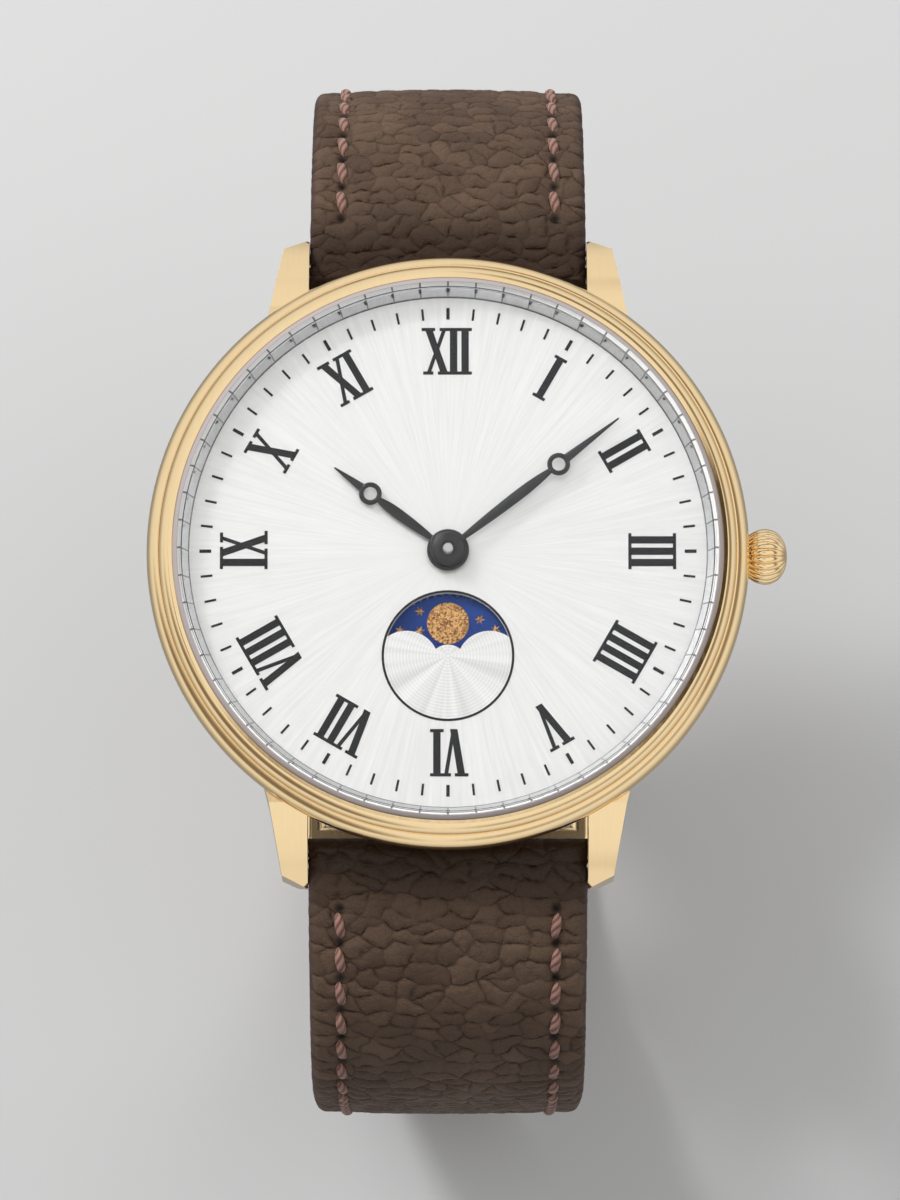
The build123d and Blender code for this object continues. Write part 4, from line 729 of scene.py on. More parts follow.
STITCH_INSET, STITCH_PITCH, STITCH_START, STITCH_LEFT = 2.0, 2.05, 2.75, 6.9
STITCH_HOLE_R = 0.29
GRAIN_SHIFT, GRAIN_SIZE_12 = 37.0, 0.9
UNROLL_STEP, UNROLL_BATCH = 0.05, 4000


def arc(radius, turn):
    """Length and radius of an arc that turns by an angle in degrees."""
    return (math.radians(turn) * radius, radius)


def leg_end(state, step, bend):
    """Distance out, height and fall after a step along a leg that is straight or bent to a radius."""
    out, height, fall = state
    if not bend:
        return out + step * math.cos(fall), height - step * math.sin(fall), fall + 0 * step
    turn = fall + step / bend
    out = out + bend * (np.sin(turn) - math.sin(fall))
    return out, height + bend * (np.cos(turn) - math.cos(fall)), turn


def dots(first, second):
    return np.einsum("ij,ij->i", first, second)


class Strap:
    """One half of the strap: its middle line, and its width and thickness along it."""

    def __init__(self, side, length, arcs, has_tip):
        self.side, self.length, self.has_tip = side, length, has_tip
        self.legs = [(1.0, 0)] + arcs
        self.legs.append((length - sum(leg[0] for leg in self.legs), 0))
        self.end_r = 0.0 if has_tip else STRAP_THIN / 2
        self.grain_shift = GRAIN_SHIFT if has_tip else 0.0
        self.grain_size = 1.0 if has_tip else GRAIN_SIZE_12

    def line(self, runs):
        """Distance out, height and fall at each run; straight beyond both ends."""
        runs = np.asarray(runs, float)
        made = np.zeros((3, *runs.shape))
        state, at, last = (BAR_OUT, BAR_HEIGHT, 0.0), 0.0, len(self.legs) - 1
        for count, (length, bend) in enumerate(self.legs):
            inside = ((runs >= at) | (count == 0)) & ((runs < at + length) | (count == last))
            for row, values in zip(made, leg_end(state, runs - at, bend)):
                row[inside] = values[inside]
            state = leg_end(state, length, bend)
            at += length
        return made

    def frame_at(self, runs):
        """Middle, outward direction and forward direction at each run."""
        out, height, fall = self.line(runs)
        zero = np.zeros_like(out)
        middle = np.stack([zero, self.side * out, height], -1)
        outward = np.stack([zero, self.side * np.sin(fall), np.cos(fall)], -1)
        forward = np.stack([zero, self.side * np.cos(fall), -np.sin(fall)], -1)
        return middle, outward, forward

    def points(self, across, runs, heights):
        """Places in space of points given across, along and off the middle line."""
        middle, outward, _ = self.frame_at(runs)
        places = middle + outward * np.asarray(heights, float)[..., None]
        places[..., 0] = across
        return places

    def thickness(self, runs):
        return STRAP_THICK - (STRAP_THICK - STRAP_THIN) * np.clip(runs / THIN_RUN, 0, 1)

    def half_width(self, runs):
        half = (LUG_WIDTH - (LUG_WIDTH - END_WIDTH) * np.clip(runs / self.length, 0, 1)) / 2
        return np.minimum(half, self.tip_half(runs)) if self.has_tip else half

    def tip_half(self, runs):
        """Half width that the rounded tip allows, on the arc through its three points."""
        mx, my, r = circle_through((TIP_ROOT_HALF, -TIP_LENGTH), (TIP_MIDDLE_HALF, -TIP_LENGTH / 3),
                                   (TIP_END_HALF, 0.0))
        below = np.clip(runs - self.length, -TIP_LENGTH, 0)
        half = mx + np.sqrt(np.maximum(r * r - (below - my) ** 2, 0))
        return np.where(runs < self.length - TIP_LENGTH, math.inf, np.maximum(half, TIP_END_HALF))

    def rounded_half(self, runs, thickness):
        """Half thickness left by the round ends about the bars."""
        before = np.clip(-runs, 0, STRAP_THICK / 2)
        left = np.sqrt(np.maximum((STRAP_THICK / 2) ** 2 - before ** 2, 0))
        room = np.where(runs < 0, left, thickness)
        if self.end_r:
            past = np.clip(runs - self.length, 0, self.end_r)
            room = np.where(runs > self.length, np.sqrt(np.maximum(self.end_r ** 2 - past ** 2, 0)), room)
        return room

    def top(self, across, runs):
        """Height of the outer face: padded in the middle and rounded at the edges."""
        t, half = self.thickness(runs), self.half_width(runs)
        rise = FLAT_CROWN + (FULL_CROWN - FLAT_CROWN) * (t - STRAP_THIN) / (STRAP_THICK - STRAP_THIN)
        inner = half - EDGE_R
        edge = half - np.abs(across)
        if self.has_tip:
            edge = np.minimum(edge, self.length - runs + 1e-3)
        lost = np.clip(EDGE_R - edge, 0, EDGE_R)
        drop = EDGE_R - np.sqrt(EDGE_R ** 2 - lost ** 2)
        crown = rise * (1 - np.clip(np.abs(across) / inner, 0, 1) ** 2)
        return np.minimum(t / 2 - rise - drop + crown, self.rounded_half(runs, t))

    def bottom(self, runs):
        """Height of the leather's lower face: over the lining, or turned under at the ends."""
        t = self.thickness(runs)
        after_start = np.clip((runs - LINING_START + TURN_UNDER) / TURN_UNDER_EASE, 0, 1)
        lining_end = self.length + TIP_LENGTH if self.has_tip else self.length - SLOT_DEPTH
        before_end = np.clip((lining_end + TURN_UNDER - runs) / TURN_UNDER_EASE, 0, 1)
        low = -t / 2 + (LINING_T + LINING_GAP) * (after_start * before_end)
        return np.maximum(low, -self.rounded_half(runs, t))

    def stitch_line(self, runs):
        """Distance of the stitching from the strap's middle."""
        return self.half_width(np.minimum(runs, self.length)) - STITCH_INSET

    def stitch_runs(self):
        """Runs of the stitch holes; the tip's own stitches follow its outline."""
        last = self.length - (TIP_LENGTH + 1.0 if self.has_tip else STITCH_LEFT)
        count = int((last - STITCH_START) / STITCH_PITCH)
        return STITCH_START + STITCH_PITCH * np.arange(count + 1)

    def stitch_holes(self):
        """Places of the holes of one continuous row, as across and run, from one side to the other."""
        runs = self.stitch_runs()
        one_side = np.stack([-self.stitch_line(runs), runs], -1)
        if not self.has_tip:
            return [one_side, one_side * (-1, 1)]
        steps = np.linspace(runs[-1], self.length - STITCH_INSET, 200)
        tip = np.stack([-self.tip_line(steps), steps], -1)
        around = np.concatenate([tip, tip[::-1] * (-1, 1)])
        spans = np.concatenate([[0], np.cumsum(np.linalg.norm(np.diff(around, axis=0), axis=1))])
        count = round(spans[-1] / STITCH_PITCH)
        even = np.linspace(0, spans[-1], count + 1)[1:-1]
        middle = np.stack([np.interp(even, spans, around[:, k]) for k in range(2)], -1)
        return [np.concatenate([one_side, middle, (one_side * (-1, 1))[::-1]])]

    def tip_line(self, runs):
        """Stitching line round the tip: the outline drawn in by the inset."""
        start = self.length - TIP_LENGTH - 2.5
        share = np.clip((runs - start) / (self.length - STITCH_INSET - start), 0, 1)
        return self.stitch_line(np.full_like(runs, start)) * np.sqrt(np.maximum(1 - share ** 3.2, 0))

    def unroll(self, places):
        """Across, run and height of places in millimetres, read off the middle line."""
        runs = np.arange(-2.5, self.length + 2.5, UNROLL_STEP)
        middle, outward, forward = self.frame_at(runs)
        found = np.zeros_like(places)
        for start in range(0, len(places), UNROLL_BATCH):
            batch = slice(start, start + UNROLL_BATCH)
            some = places[batch]
            gaps = sum((some[:, None, axis] - middle[None, :, axis]) ** 2 for axis in (1, 2))
            near = gaps.argmin(1)
            away = some - middle[near]
            found[batch, 0] = some[:, 0]
            found[batch, 1] = runs[near] + dots(away, forward[near])
            found[batch, 2] = dots(away, outward[near])
        return found


strap_12 = Strap(1, 70.0, [arc(11.65, 90), arc(22.0, 100)], False)
strap_6 = Strap(-1, 110.0, [arc(11.4, 90), arc(100.0, 18), arc(20.0, 72)], True)

# ---------------------------------------------------------------- strap leather

ROW_STEP_NEAR, ROW_STEP_FAR, NEAR_RUN = 0.14, 0.27, 24.0
FACE_COLUMNS = 122
UNDER_COLUMNS = 14
LINE_PRESS, LINE_SPREAD = 0.11, 0.5
HOLE_PRESS, HOLE_SPREAD = 0.2, 0.28
RIM_PRESS, RIM_SPREAD = 0.12, 0.3
HOLE_REACH, FAR_FROM_HOLES = 1.2, 9.0
TAIL_RUN = 1.5
ACROSS_REACH, THROUGH_REACH = 12.0, 3.0
PAINTED_EDGE, PAINTED_EASE = 0.34, 0.25


def hole_gap(strap, across, runs):
    """Distance to the nearest stitch hole."""
    gap = np.full(across.shape, FAR_FROM_HOLES)
    for row in strap.stitch_holes():
        for hole_across, hole_run in row:
            near = np.abs(runs - hole_run) < HOLE_REACH
            there = np.hypot(across[near] - hole_across, runs[near] - hole_run)
            gap[near] = np.minimum(gap[near], there)
    return gap


def leather_rows(strap):
    """Runs of the leather's sections: close where the strap shows, and round its ends."""
    ends = -STRAP_THICK / 2 * np.cos(np.linspace(0.04, math.pi / 2, 14))[:-1]
    near = np.arange(0, NEAR_RUN, ROW_STEP_NEAR)
    far = np.arange(NEAR_RUN, strap.length - TAIL_RUN, ROW_STEP_FAR)
    if strap.has_tip:
        tail = strap.length - TAIL_RUN * (1 - np.linspace(0, 1, 12) ** 0.6)
        return np.concatenate([ends, near, far, tail])
    tail = np.linspace(strap.length - TAIL_RUN, strap.length, 7)
    past = strap.length + strap.end_r * np.sin(np.linspace(0, math.pi / 2 - 0.05, 10))[1:]
    return np.concatenate([ends, near, far, tail, past])


def leather_tube(strap, name):
    """Closed skin of the leather, with what the grain tree needs to know at each point."""
    runs = leather_rows(strap)
    half = strap.half_width(runs)
    rounding = np.linspace(0, math.pi / 2, 7)
    corner = EDGE_R * (1 - np.cos(rounding))
    face = np.linspace(0, 1, FACE_COLUMNS)[1:-1]
    inner = half - EDGE_R
    left = -half[:, None] + corner[None, :]
    middle = -inner[:, None] + 2 * inner[:, None] * face[None, :]
    top_across = np.concatenate([left, middle, -left[:, ::-1]], 1)
    top_runs = np.broadcast_to(runs[:, None], top_across.shape)
    top_height = strap.top(top_across, top_runs)
    top_height = np.maximum(top_height, strap.bottom(runs)[:, None] + 0.02)
    under_across = half[:, None] * np.linspace(1, -1, UNDER_COLUMNS)[None, :]
    under_height = np.broadcast_to(strap.bottom(runs)[:, None], under_across.shape)
    side_height = (top_height[:, -1:] + under_height[:, :1]) / 2
    across = np.concatenate([top_across, half[:, None], under_across, -half[:, None]], 1)
    height = np.concatenate([top_height, side_height, under_height, side_height], 1)
    run_grid = np.broadcast_to(runs[:, None], across.shape)
    lean = np.concatenate([math.pi / 2 - rounding, np.zeros(len(face)), rounding])
    side = np.concatenate([-np.ones(len(rounding)), np.zeros(len(face)), np.ones(len(rounding))])
    out_across = np.concatenate([side * np.sin(lean), [1], np.zeros(UNDER_COLUMNS), [-1]])
    out_height = np.concatenate([np.cos(lean), [0], -np.ones(UNDER_COLUMNS), [0]])
    _, outward, _ = strap.frame_at(run_grid)
    outward = outward * out_height[None, :, None]
    outward[..., 0] = out_across[None, :]
    relief = np.concatenate([0.25 + 0.75 * np.clip(np.cos(lean) * 1.4, 0, 1), np.zeros(UNDER_COLUMNS + 2)])
    relief = relief[None, :] * np.clip((strap.length + 0.4 - run_grid) / 0.8, 0, 1)
    is_top = np.arange(across.shape[1]) < top_across.shape[1]
    piece = new_piece(name, strap.points(across, run_grid, height),
                      tube_faces(*across.shape), "strap_leather")
    flat_place = np.stack([across + strap.grain_shift, run_grid, np.zeros_like(across)], -1)
    set_field(piece.data, "place", flat_place / strap.grain_size)
    set_field(piece.data, "outward", outward)
    set_field(piece.data, "relief", relief)
    set_field(piece.data, "press", leather_press(strap, across, run_grid) * is_top[None, :])
    return facing_out(piece)


def leather_press(strap, across, runs):
    """How far the stitching and the punched holes draw the leather in, in millimetres."""
    gap = hole_gap(strap, across, runs)
    line = np.abs(np.abs(across) - strap.stitch_line(runs))
    sewn = (runs > STITCH_START - 0.8) & (runs < strap.length - (TIP_LENGTH if strap.has_tip else 6.5))
    press = LINE_PRESS * np.exp(-(line / LINE_SPREAD) ** 2) * sewn
    press += HOLE_PRESS * np.exp(-(gap / HOLE_SPREAD) ** 2)
    if strap.has_tip:
        for count in range(HOLE_COUNT):
            rim = np.hypot(across, runs - strap.length + HOLE_FIRST + count * HOLE_PITCH) - HOLE_R
            press += RIM_PRESS * np.exp(-(np.maximum(rim, 0) / RIM_SPREAD) ** 2)
    return press


def make_grain_relief():
    """Grain pressed into a skin along its own outward direction."""
    tree, entry = new_group("grain_relief", "GeometryNodeTree",
                            {"Skin": GEOMETRY, "Crease Depth": CREASE_DEPTH, "Crease Width": CREASE_WIDTH,
                             "Pebble Rise": PEBBLE_RISE, "Finish": FINISH})
    edge, _, small, depth = grain_cells(carried_by_mesh(tree, "place"))
    crease = eased(edge, 0.0, entry["Crease Width"], 1.0, 0.0) * depth
    fold = eased(small, 0.0, 0.16, 0.28, 0.0) * depth
    swell = eased(edge, 0.0, 0.42) * entry["Pebble Rise"]
    height = swell - maths("MAXIMUM", crease, fold) * entry["Crease Depth"]
    moved = height * carried_by_mesh(tree, "relief", "FLOAT") - carried_by_mesh(tree, "press", "FLOAT")
    shaped = moved_by(tree, entry["Skin"], carried_by_mesh(tree, "outward"), moved * MM)
    return leave_shape(tree, shaped, entry["Finish"])


grain_relief = make_grain_relief()


def drill(place, direction, radius, reach, sides=40):
    """Points and faces of a round cutter about a place."""
    direction = np.asarray(direction, float)
    first = np.cross(direction, (1, 0, 0) if abs(direction[0]) < 0.9 else (0, 1, 0))
    first /= np.linalg.norm(first)
    second = np.cross(direction, first)
    turn = np.linspace(0, math.tau, sides, endpoint=False)
    ring = radius * (np.cos(turn)[:, None] * first + np.sin(turn)[:, None] * second)
    points = np.concatenate([np.asarray(place) + way * reach * direction + ring for way in (-1, 1)])
    return points, tube_faces(2, sides)


def slot_cutter(strap):
    """Cutter of the tongue's slot: open at the buckle end, with a round inner end."""
    start = strap.length - SLOT_DEPTH + SLOT_HALF
    turn = np.linspace(0, math.pi, 17)
    outline = [(SLOT_HALF * math.cos(a), start - SLOT_HALF * math.sin(a)) for a in turn]
    outline = [(SLOT_HALF, strap.length + 3)] + outline + [(-SLOT_HALF, strap.length + 3)]
    across, runs = np.array(outline).T
    points = [strap.points(across, runs, np.full(len(across), level)) for level in (-2.4, 2.4)]
    return np.concatenate(points), tube_faces(2, len(across))


def strap_cutters(strap, with_bars):
    """Everything that is cut out of a strap half."""
    cutters = []
    if with_bars:
        cutters.append(drill((0, strap.side * BAR_OUT, BAR_HEIGHT), (1, 0, 0), BAR_TUNNEL_R, ACROSS_REACH))
    if strap.has_tip:
        for count in range(HOLE_COUNT):
            middle, outward, _ = strap.frame_at([strap.length - HOLE_FIRST - count * HOLE_PITCH])
            cutters.append(drill(middle[0], outward[0], HOLE_R, THROUGH_REACH))
    else:
        if with_bars:
            middle, _, _ = strap.frame_at([strap.length])
            cutters.append(drill(middle[0], (1, 0, 0), BUCKLE_TUNNEL_R, ACROSS_REACH))
        cutters.append(slot_cutter(strap))
    return cutters


def cut(piece, cutters):
    """Cut shapes out of a piece, one after another."""
    for points, faces in cutters:
        cutter = facing_out(new_piece("cutter", points, faces, "strap_leather", smooth=False))
        modifier = piece.modifiers.new("cut", "BOOLEAN")
        modifier.object, modifier.operation, modifier.solver = cutter, "DIFFERENCE", "EXACT"
        bake(piece)
        bpy.data.objects.remove(cutter)


def mark_leather(piece, strap):
    """Write on the leather where each point lies, and how near an edge or a stitch hole it is."""
    for name in ("outward", "relief", "press"):
        piece.data.attributes.remove(piece.data.attributes[name])
    found = strap.unroll(places_of(piece.data))
    across, runs, height = found.T
    top = strap.top(across, runs)
    gap = hole_gap(strap, across, runs) + 3 * (height < top - 1.0)
    edge = strap.half_width(runs) - np.abs(across)
    if strap.has_tip:
        edge = np.minimum(edge, strap.length - runs)
    painted = np.clip((PAINTED_EDGE - edge) / PAINTED_EASE, 0, 1)
    # Painted shade in the stitch holes: dark round each hole's middle, on the top face only.
    dark = np.clip(1.35 - gap / STITCH_HOLE_R, 0, 1)
    set_field(piece.data, "place", (found + (strap.grain_shift, 0, 0)) / strap.grain_size)
    set_field(piece.data, "edge_paint_and_hole_shade", np.stack([painted, dark, np.zeros_like(dark)], -1))
    shade(piece.data, True)


def make_skin(strap, name, node, body):
    """Grained outer leather of one strap half."""
    piece = leather_tube(strap, name)
    run_tree(piece, grain_relief, {"Finish": finishes["strap_leather"]})
    cut(piece, strap_cutters(strap, True))
    mark_leather(piece, strap)
    hand_over(piece, body, node, sharp=50)


def make_lining(strap, name, node, body):
    """Smooth lining under the leather, with softened edges."""
    end = strap.length - 0.1 if strap.has_tip else strap.length - SLOT_DEPTH
    runs = np.arange(LINING_START, end - 2, LINING_ROW_STEP)
    runs = np.concatenate([runs, np.linspace(end - 2, end, 12)])
    half = strap.half_width(runs + (0.1 if strap.has_tip else 0)) - LINING_INSET
    low = -strap.thickness(runs) / 2
    soft = LINING_SOFT
    shape = [(-1, LINING_T, 0), (1, LINING_T, 0), (1, soft, 0), (1, 0.3 * soft, -0.3 * soft), (1, 0, -soft)]
    shape += [(share, 0, 0) for share in np.linspace(0.9, -0.9, 9)]
    shape += [(-1, 0, soft), (-1, 0.3 * soft, 0.3 * soft), (-1, soft, 0)]
    share, rise, shift = np.array(shape).T
    across = half[:, None] * share[None, :] + shift[None, :]
    run_grid = np.broadcast_to(runs[:, None], across.shape)
    height = low[:, None] + rise[None, :]
    piece = facing_out(new_piece(name, strap.points(across, run_grid, height),
                                 tube_faces(*across.shape), "lining_leather"))
    cut(piece, strap_cutters(strap, False))
    hand_over(piece, body, node, sharp=40)


halves = {"strap_12": strap_12, "strap_6": strap_6}
for body, strap in halves.items():
    make_skin(strap, body + "_skin", body + "_leather", body)
for body, strap in halves.items():
    make_lining(strap, body + "_back", body + "_lining", body)

# ---------------------------------------------------------------- stitching

STITCH_LENGTH, STITCH_WIDTH = 1.78, 0.62
STITCH_TILT = math.radians(9)
STRAND_ROWS, STRAND_SIDES = 8, 10
THREAD_LIFT, THREAD_OUT = 0.12, 0.02


def make_strand():
    """One stitch of unit size: a blunt strand that dips into the leather at both ends."""
    points, marks = [], []
    for share in np.linspace(-0.5, 0.5, STRAND_ROWS):
        swell = max(1 - abs(2 * share) ** 3, 0.03) ** 0.6
        sink = 0.55 * abs(2 * share) ** 3
        for angle in np.linspace(0, math.tau, STRAND_SIDES, endpoint=False):
            points.append((0.5 * swell * math.cos(angle), share, 0.42 * swell * math.sin(angle) - sink))
            marks.append((math.cos(angle), math.sin(angle), share))
    piece = new_piece("strand", np.array(points) / MM, tube_faces(STRAND_ROWS, STRAND_SIDES), "thread")
    set_field(piece.data, "strand", marks)
    return facing_out(piece)


def make_sewing():
    """Strands laid on a row of points, each along its own direction."""
    tree, entry = new_group("sewing", "GeometryNodeTree",
                            {"Row": GEOMETRY, "Strand": "NodeSocketObject", "Length": STITCH_LENGTH * MM,
                             "Width": STITCH_WIDTH * MM, "Finish": FINISH})
    turn = put(tree, "FunctionNodeAxesToRotation",
               {0: carried_by_mesh(tree, "outward"), 1: carried_by_mesh(tree, "along")},
               primary_axis="Z", secondary_axis="Y")
    size = joined(x=entry["Width"], y=entry["Length"], z=entry["Width"])
    strand = put(tree, "GeometryNodeObjectInfo", {"Object": entry["Strand"]})["Geometry"]
    laid = put(tree, "GeometryNodeInstanceOnPoints",
               {"Points": entry["Row"], "Instance": strand, "Rotation": turn[0], "Scale": size})
    return leave_shape(tree, laid[0], entry["Finish"])


sewing = make_sewing()
strand = make_strand()


def make_stitches(strap, name, body):
    """Thread of one strap half, on its face and on its lining."""
    places, outwards, alongs = [], [], []
    for row in strap.stitch_holes():
        middle = (row[1:] + row[:-1]) / 2
        step = row[1:] - row[:-1]
        step /= np.linalg.norm(step, axis=1)[:, None]
        lean = np.where(np.abs(step[:, 1]) > 0.8, STITCH_TILT * strap.side * np.sign(step[:, 1]), 0.0)
        _, outward, forward = strap.frame_at(middle[:, 1])
        along = forward * (step[:, 0] * np.sin(lean) + step[:, 1] * np.cos(lean))[:, None]
        along[:, 0] += step[:, 0] * np.cos(lean) - step[:, 1] * np.sin(lean)
        on_face = strap.top(middle[:, 0], middle[:, 1]) - LINE_PRESS + THREAD_LIFT
        on_lining = -strap.thickness(middle[:, 1]) / 2 - THREAD_OUT
        for face, height in ((1, on_face), (-1, on_lining)):
            places.append(strap.points(middle[:, 0], middle[:, 1], height))
            outwards.append(outward * face)
            alongs.append(along)
    piece = new_piece(name, np.concatenate(places), [], "thread")
    set_field(piece.data, "outward", np.concatenate(outwards))
    set_field(piece.data, "along", np.concatenate(alongs))
    run_tree(piece, sewing, {"Strand": strand, "Finish": finishes["thread"]})
    shade(piece.data, True)
    hand_over(piece, body)


for body, strap in halves.items():
    make_stitches(strap, body + "_stitches", body)
bpy.data.objects.remove(strand)

# ---------------------------------------------------------------- keepers

KEEPER_WIDTH, KEEPER_T = 5.0, 1.0
KEEPER_SIDE_GAP, KEEPER_ROOM, KEEPER_INNER_GAP = 0.3, 2.6, 0.5
KEEPER_INNER_R = 0.3
KEEPER_EDGE = 0.28
FIXED_KEEPER_RUN, FREE_KEEPER_RUN = 63.6, 51.5
BOX_CORNER_STEPS, BOX_STEP = 7, 0.6


def rounded_box(half_wide, low, high, radius):
    """Outline of a rounded rectangle, with the direction out of it at each point."""
    centres = [(half_wide - radius, high - radius, 0), (radius - half_wide, high - radius, 90),
               (radius - half_wide, low + radius, 180), (half_wide - radius, low + radius, 270)]
    points, outs = [], []
    for cx, cy, start in centres:
        for step in range(BOX_CORNER_STEPS):
            a = math.radians(start + 90 * step / (BOX_CORNER_STEPS - 1))
            outs.append((math.cos(a), math.sin(a)))
            points.append((cx + radius * math.cos(a), cy + radius * math.sin(a)))
    fine_points, fine_outs = [], []
    for k, (here, out) in enumerate(zip(points, outs)):
        after, out_after = points[(k + 1) % len(points)], outs[(k + 1) % len(points)]
        steps = max(int(math.dist(here, after) / BOX_STEP), 1)
        for step in range(steps):
            share = step / steps
            fine_points.append([h + (a - h) * share for h, a in zip(here, after)])
            mixed_out = np.array(out) * (1 - share) + np.array(out_after) * share
            fine_outs.append(mixed_out / np.linalg.norm(mixed_out))
    return np.array(fine_points), np.array(fine_outs)


def make_keeper(name, node, body, run, inner_gap):
    """Leather band round the strap, with rounded and slightly raised edges."""
    t = float(strap_12.thickness(np.array(run)))
    half = float(strap_12.half_width(np.array(run))) + KEEPER_SIDE_GAP
    outline, outs = rounded_box(half, -t / 2 - inner_gap, t / 2 + KEEPER_ROOM, KEEPER_INNER_R)
    w, e = KEEPER_WIDTH / 2, KEEPER_EDGE
    arcs = np.linspace(0, math.pi / 2, 4)
    section = [(-w, e), (-w, KEEPER_T - e)]
    section += [(-w + e - e * math.cos(a), KEEPER_T - e + e * math.sin(a)) for a in arcs[1:]]
    section += [(share * w, KEEPER_T) for share in (-0.6, -0.2, 0.2, 0.6)]
    section += [(w - e + e * math.sin(a), KEEPER_T - e + e * math.cos(a)) for a in arcs]
    section += [(w, e), (w - e * 0.6, 0), (-w + e * 0.6, 0)]
    centre, outward, forward = (value[0] for value in strap_12.frame_at([run]))
    points = []
    for (x, y), (ox, oy) in zip(outline, outs):
        for along, rise in section:
            points.append(centre + outward * (y + oy * rise) + forward * along + (x + ox * rise, 0, 0))
    piece = facing_out(new_piece(name, points, loop_faces(len(outline), len(section)), "keeper_leather"))
    hand_over(piece, body, node, sharp=60)


make_keeper("fixed_loop", "fixed_keeper", "strap_12", FIXED_KEEPER_RUN, 0.0)
make_keeper("free_loop", "free_keeper", "free_keeper", FREE_KEEPER_RUN, KEEPER_INNER_GAP)

# ---------------------------------------------------------------- crystal and its seat


def spun(profile, turns, centre=0.0):
    """Points of a profile of radius and height, turned about an upright axis."""
    return [(r * math.cos(turn), centre + r * math.sin(turn), z)
            for turn in np.linspace(0, math.tau, turns, endpoint=False) for r, z in profile]


def lathe(name, profile, finish, turns=288):
    """Closed solid turned from a profile whose ends lie on the axis, or from one that closes on itself."""
    on_axis = profile[0][0] == 0
    rings = profile[1:-1] if on_axis else profile
    count = len(rings)
    points, faces = spun(rings, turns), []
    for turn in range(turns):
        here, there = turn * count, (turn + 1) % turns * count
        for k in range(count - 1 if on_axis else count):
            after = (k + 1) % count
            faces.append((here + k, there + k, there + after, here + after))
        if on_axis:
            faces.append((turns * count, there, here))
            faces.append((turns * count + 1, here + count - 1, there + count - 1))
    if on_axis:
        points += [(0, 0, profile[0][1]), (0, 0, profile[-1][1])]
    piece = new_piece(name, points, faces, finish)
    outward_shells(piece)
    return piece


def dome(low_r, low_z, rise, steps=26):
    """Profile of a shallow dome, from its middle to its rim."""
    sphere = (low_r ** 2 + rise ** 2) / (2 * rise)
    radii = low_r * np.linspace(0, 1, steps)
    return [(float(r), float(low_z + rise - sphere + math.sqrt(sphere ** 2 - r ** 2))) for r in radii]


CRYSTAL_SEAT_Z, SHELF_Z = 6.5, 6.84
SEAT_EDGE_Z, SEAT_TOP_Z = 6.98, 7.18
UNDER_R, UNDER_RISE = 16.62, 0.5
BEVEL_R, BEVEL_Z, TOP_RISE = 17.2, 7.42, 0.5


def make_crystal():
    """Domed crystal with a bevelled rim that rests on the gasket's shelf."""
    rim, step = LENS_R - 0.01, SEAT_INNER_R - 0.02
    profile = dome(BEVEL_R, BEVEL_Z, TOP_RISE) + [(rim, BEVEL_Z - 0.18), (rim, SHELF_Z + 0.01)]
    profile += [(step, SHELF_Z + 0.01), (step, CRYSTAL_SEAT_Z)]
    profile += dome(UNDER_R, CRYSTAL_SEAT_Z, UNDER_RISE)[::-1]
    hand_over(lathe("crystal_lens", profile, "crystal_glass"), "case", "crystal", sharp=25)


def make_crystal_gasket():
    """Gasket between crystal and bezel, sloped outside and with a shelf inside."""
    low = CRYSTAL_SEAT_Z + 0.01
    profile = [(SEAT_OUTER_R, low), (SEAT_OUTER_R, SEAT_EDGE_Z), (SEAT_OUTER_R - 0.07, SEAT_EDGE_Z + 0.06),
               (LENS_R + 0.06, SEAT_TOP_Z - 0.01), (LENS_R + 0.01, SEAT_TOP_Z), (LENS_R + 0.01, SHELF_Z),
               (SEAT_INNER_R, SHELF_Z), (SEAT_INNER_R, low)]
    piece = lathe("crystal_seat", profile, "gasket_nylon")
    hand_over(piece, "case", "crystal_gasket", sharp=50)


# ---------------------------------------------------------------- bezel

BEZEL_FOOT_Z, BEZEL_TOP_Z, GROOVE_Z = 5.0, 7.0, 6.4
BORE_R, MOUTH_R, INNER_RING_R, OUTER_RING_R, RIM_R = 17.07, 17.68, 18.55, 18.63, 19.34
RIDGE_R, RIDGE_Z = 17.93, 7.045
INNER_RING_MIDDLE, OUTER_RING_MIDDLE = (18.322, 6.793), (19.199, 5.879)


def through(first, middle, last, steps):
    """Points of the arc through three points, without its first."""
    mx, my, r = circle_through(first, middle, last)
    start, end = (math.atan2(y - my, x - mx) for x, y in (first, last))
    return [(mx + r * math.cos(a), my + r * math.sin(a)) for a in np.linspace(start, end, steps + 1)[1:]]


def make_bezel():
    """Two polished rings with a narrow groove between them."""
    ridge, inner_end = (RIDGE_R, RIDGE_Z), (INNER_RING_R, GROOVE_Z)
    outer_start, outer_end = (OUTER_RING_R, GROOVE_Z), (RIM_R, BEZEL_FOOT_Z + 0.12)
    profile = [(MOUTH_R + 0.02, BEZEL_TOP_Z - 0.03), ridge]
    profile += through(ridge, INNER_RING_MIDDLE, inner_end, 16)
    profile += [(INNER_RING_R + 0.01, GROOVE_Z - 0.03), (OUTER_RING_R - 0.01, GROOVE_Z - 0.03), outer_start]
    profile += through(outer_start, OUTER_RING_MIDDLE, outer_end, 20)
    profile += [(RIM_R - 0.18, BEZEL_FOOT_Z), (BORE_R, BEZEL_FOOT_Z), (BORE_R, CRYSTAL_SEAT_Z - 0.01)]
    profile += [(MOUTH_R, CRYSTAL_SEAT_Z - 0.01), (MOUTH_R, BEZEL_TOP_Z - 0.05)]
    hand_over(lathe("bezel_rings", profile, "gold"), "case", "bezel", sharp=14)


# ---------------------------------------------------------------- print

NUMERAL_SPREAD, TRACK_SPREAD = 0.032, 0.014
WELD_GAP = 1e-7
UPRIGHT, SAME_WALL = 0.5, 0.98


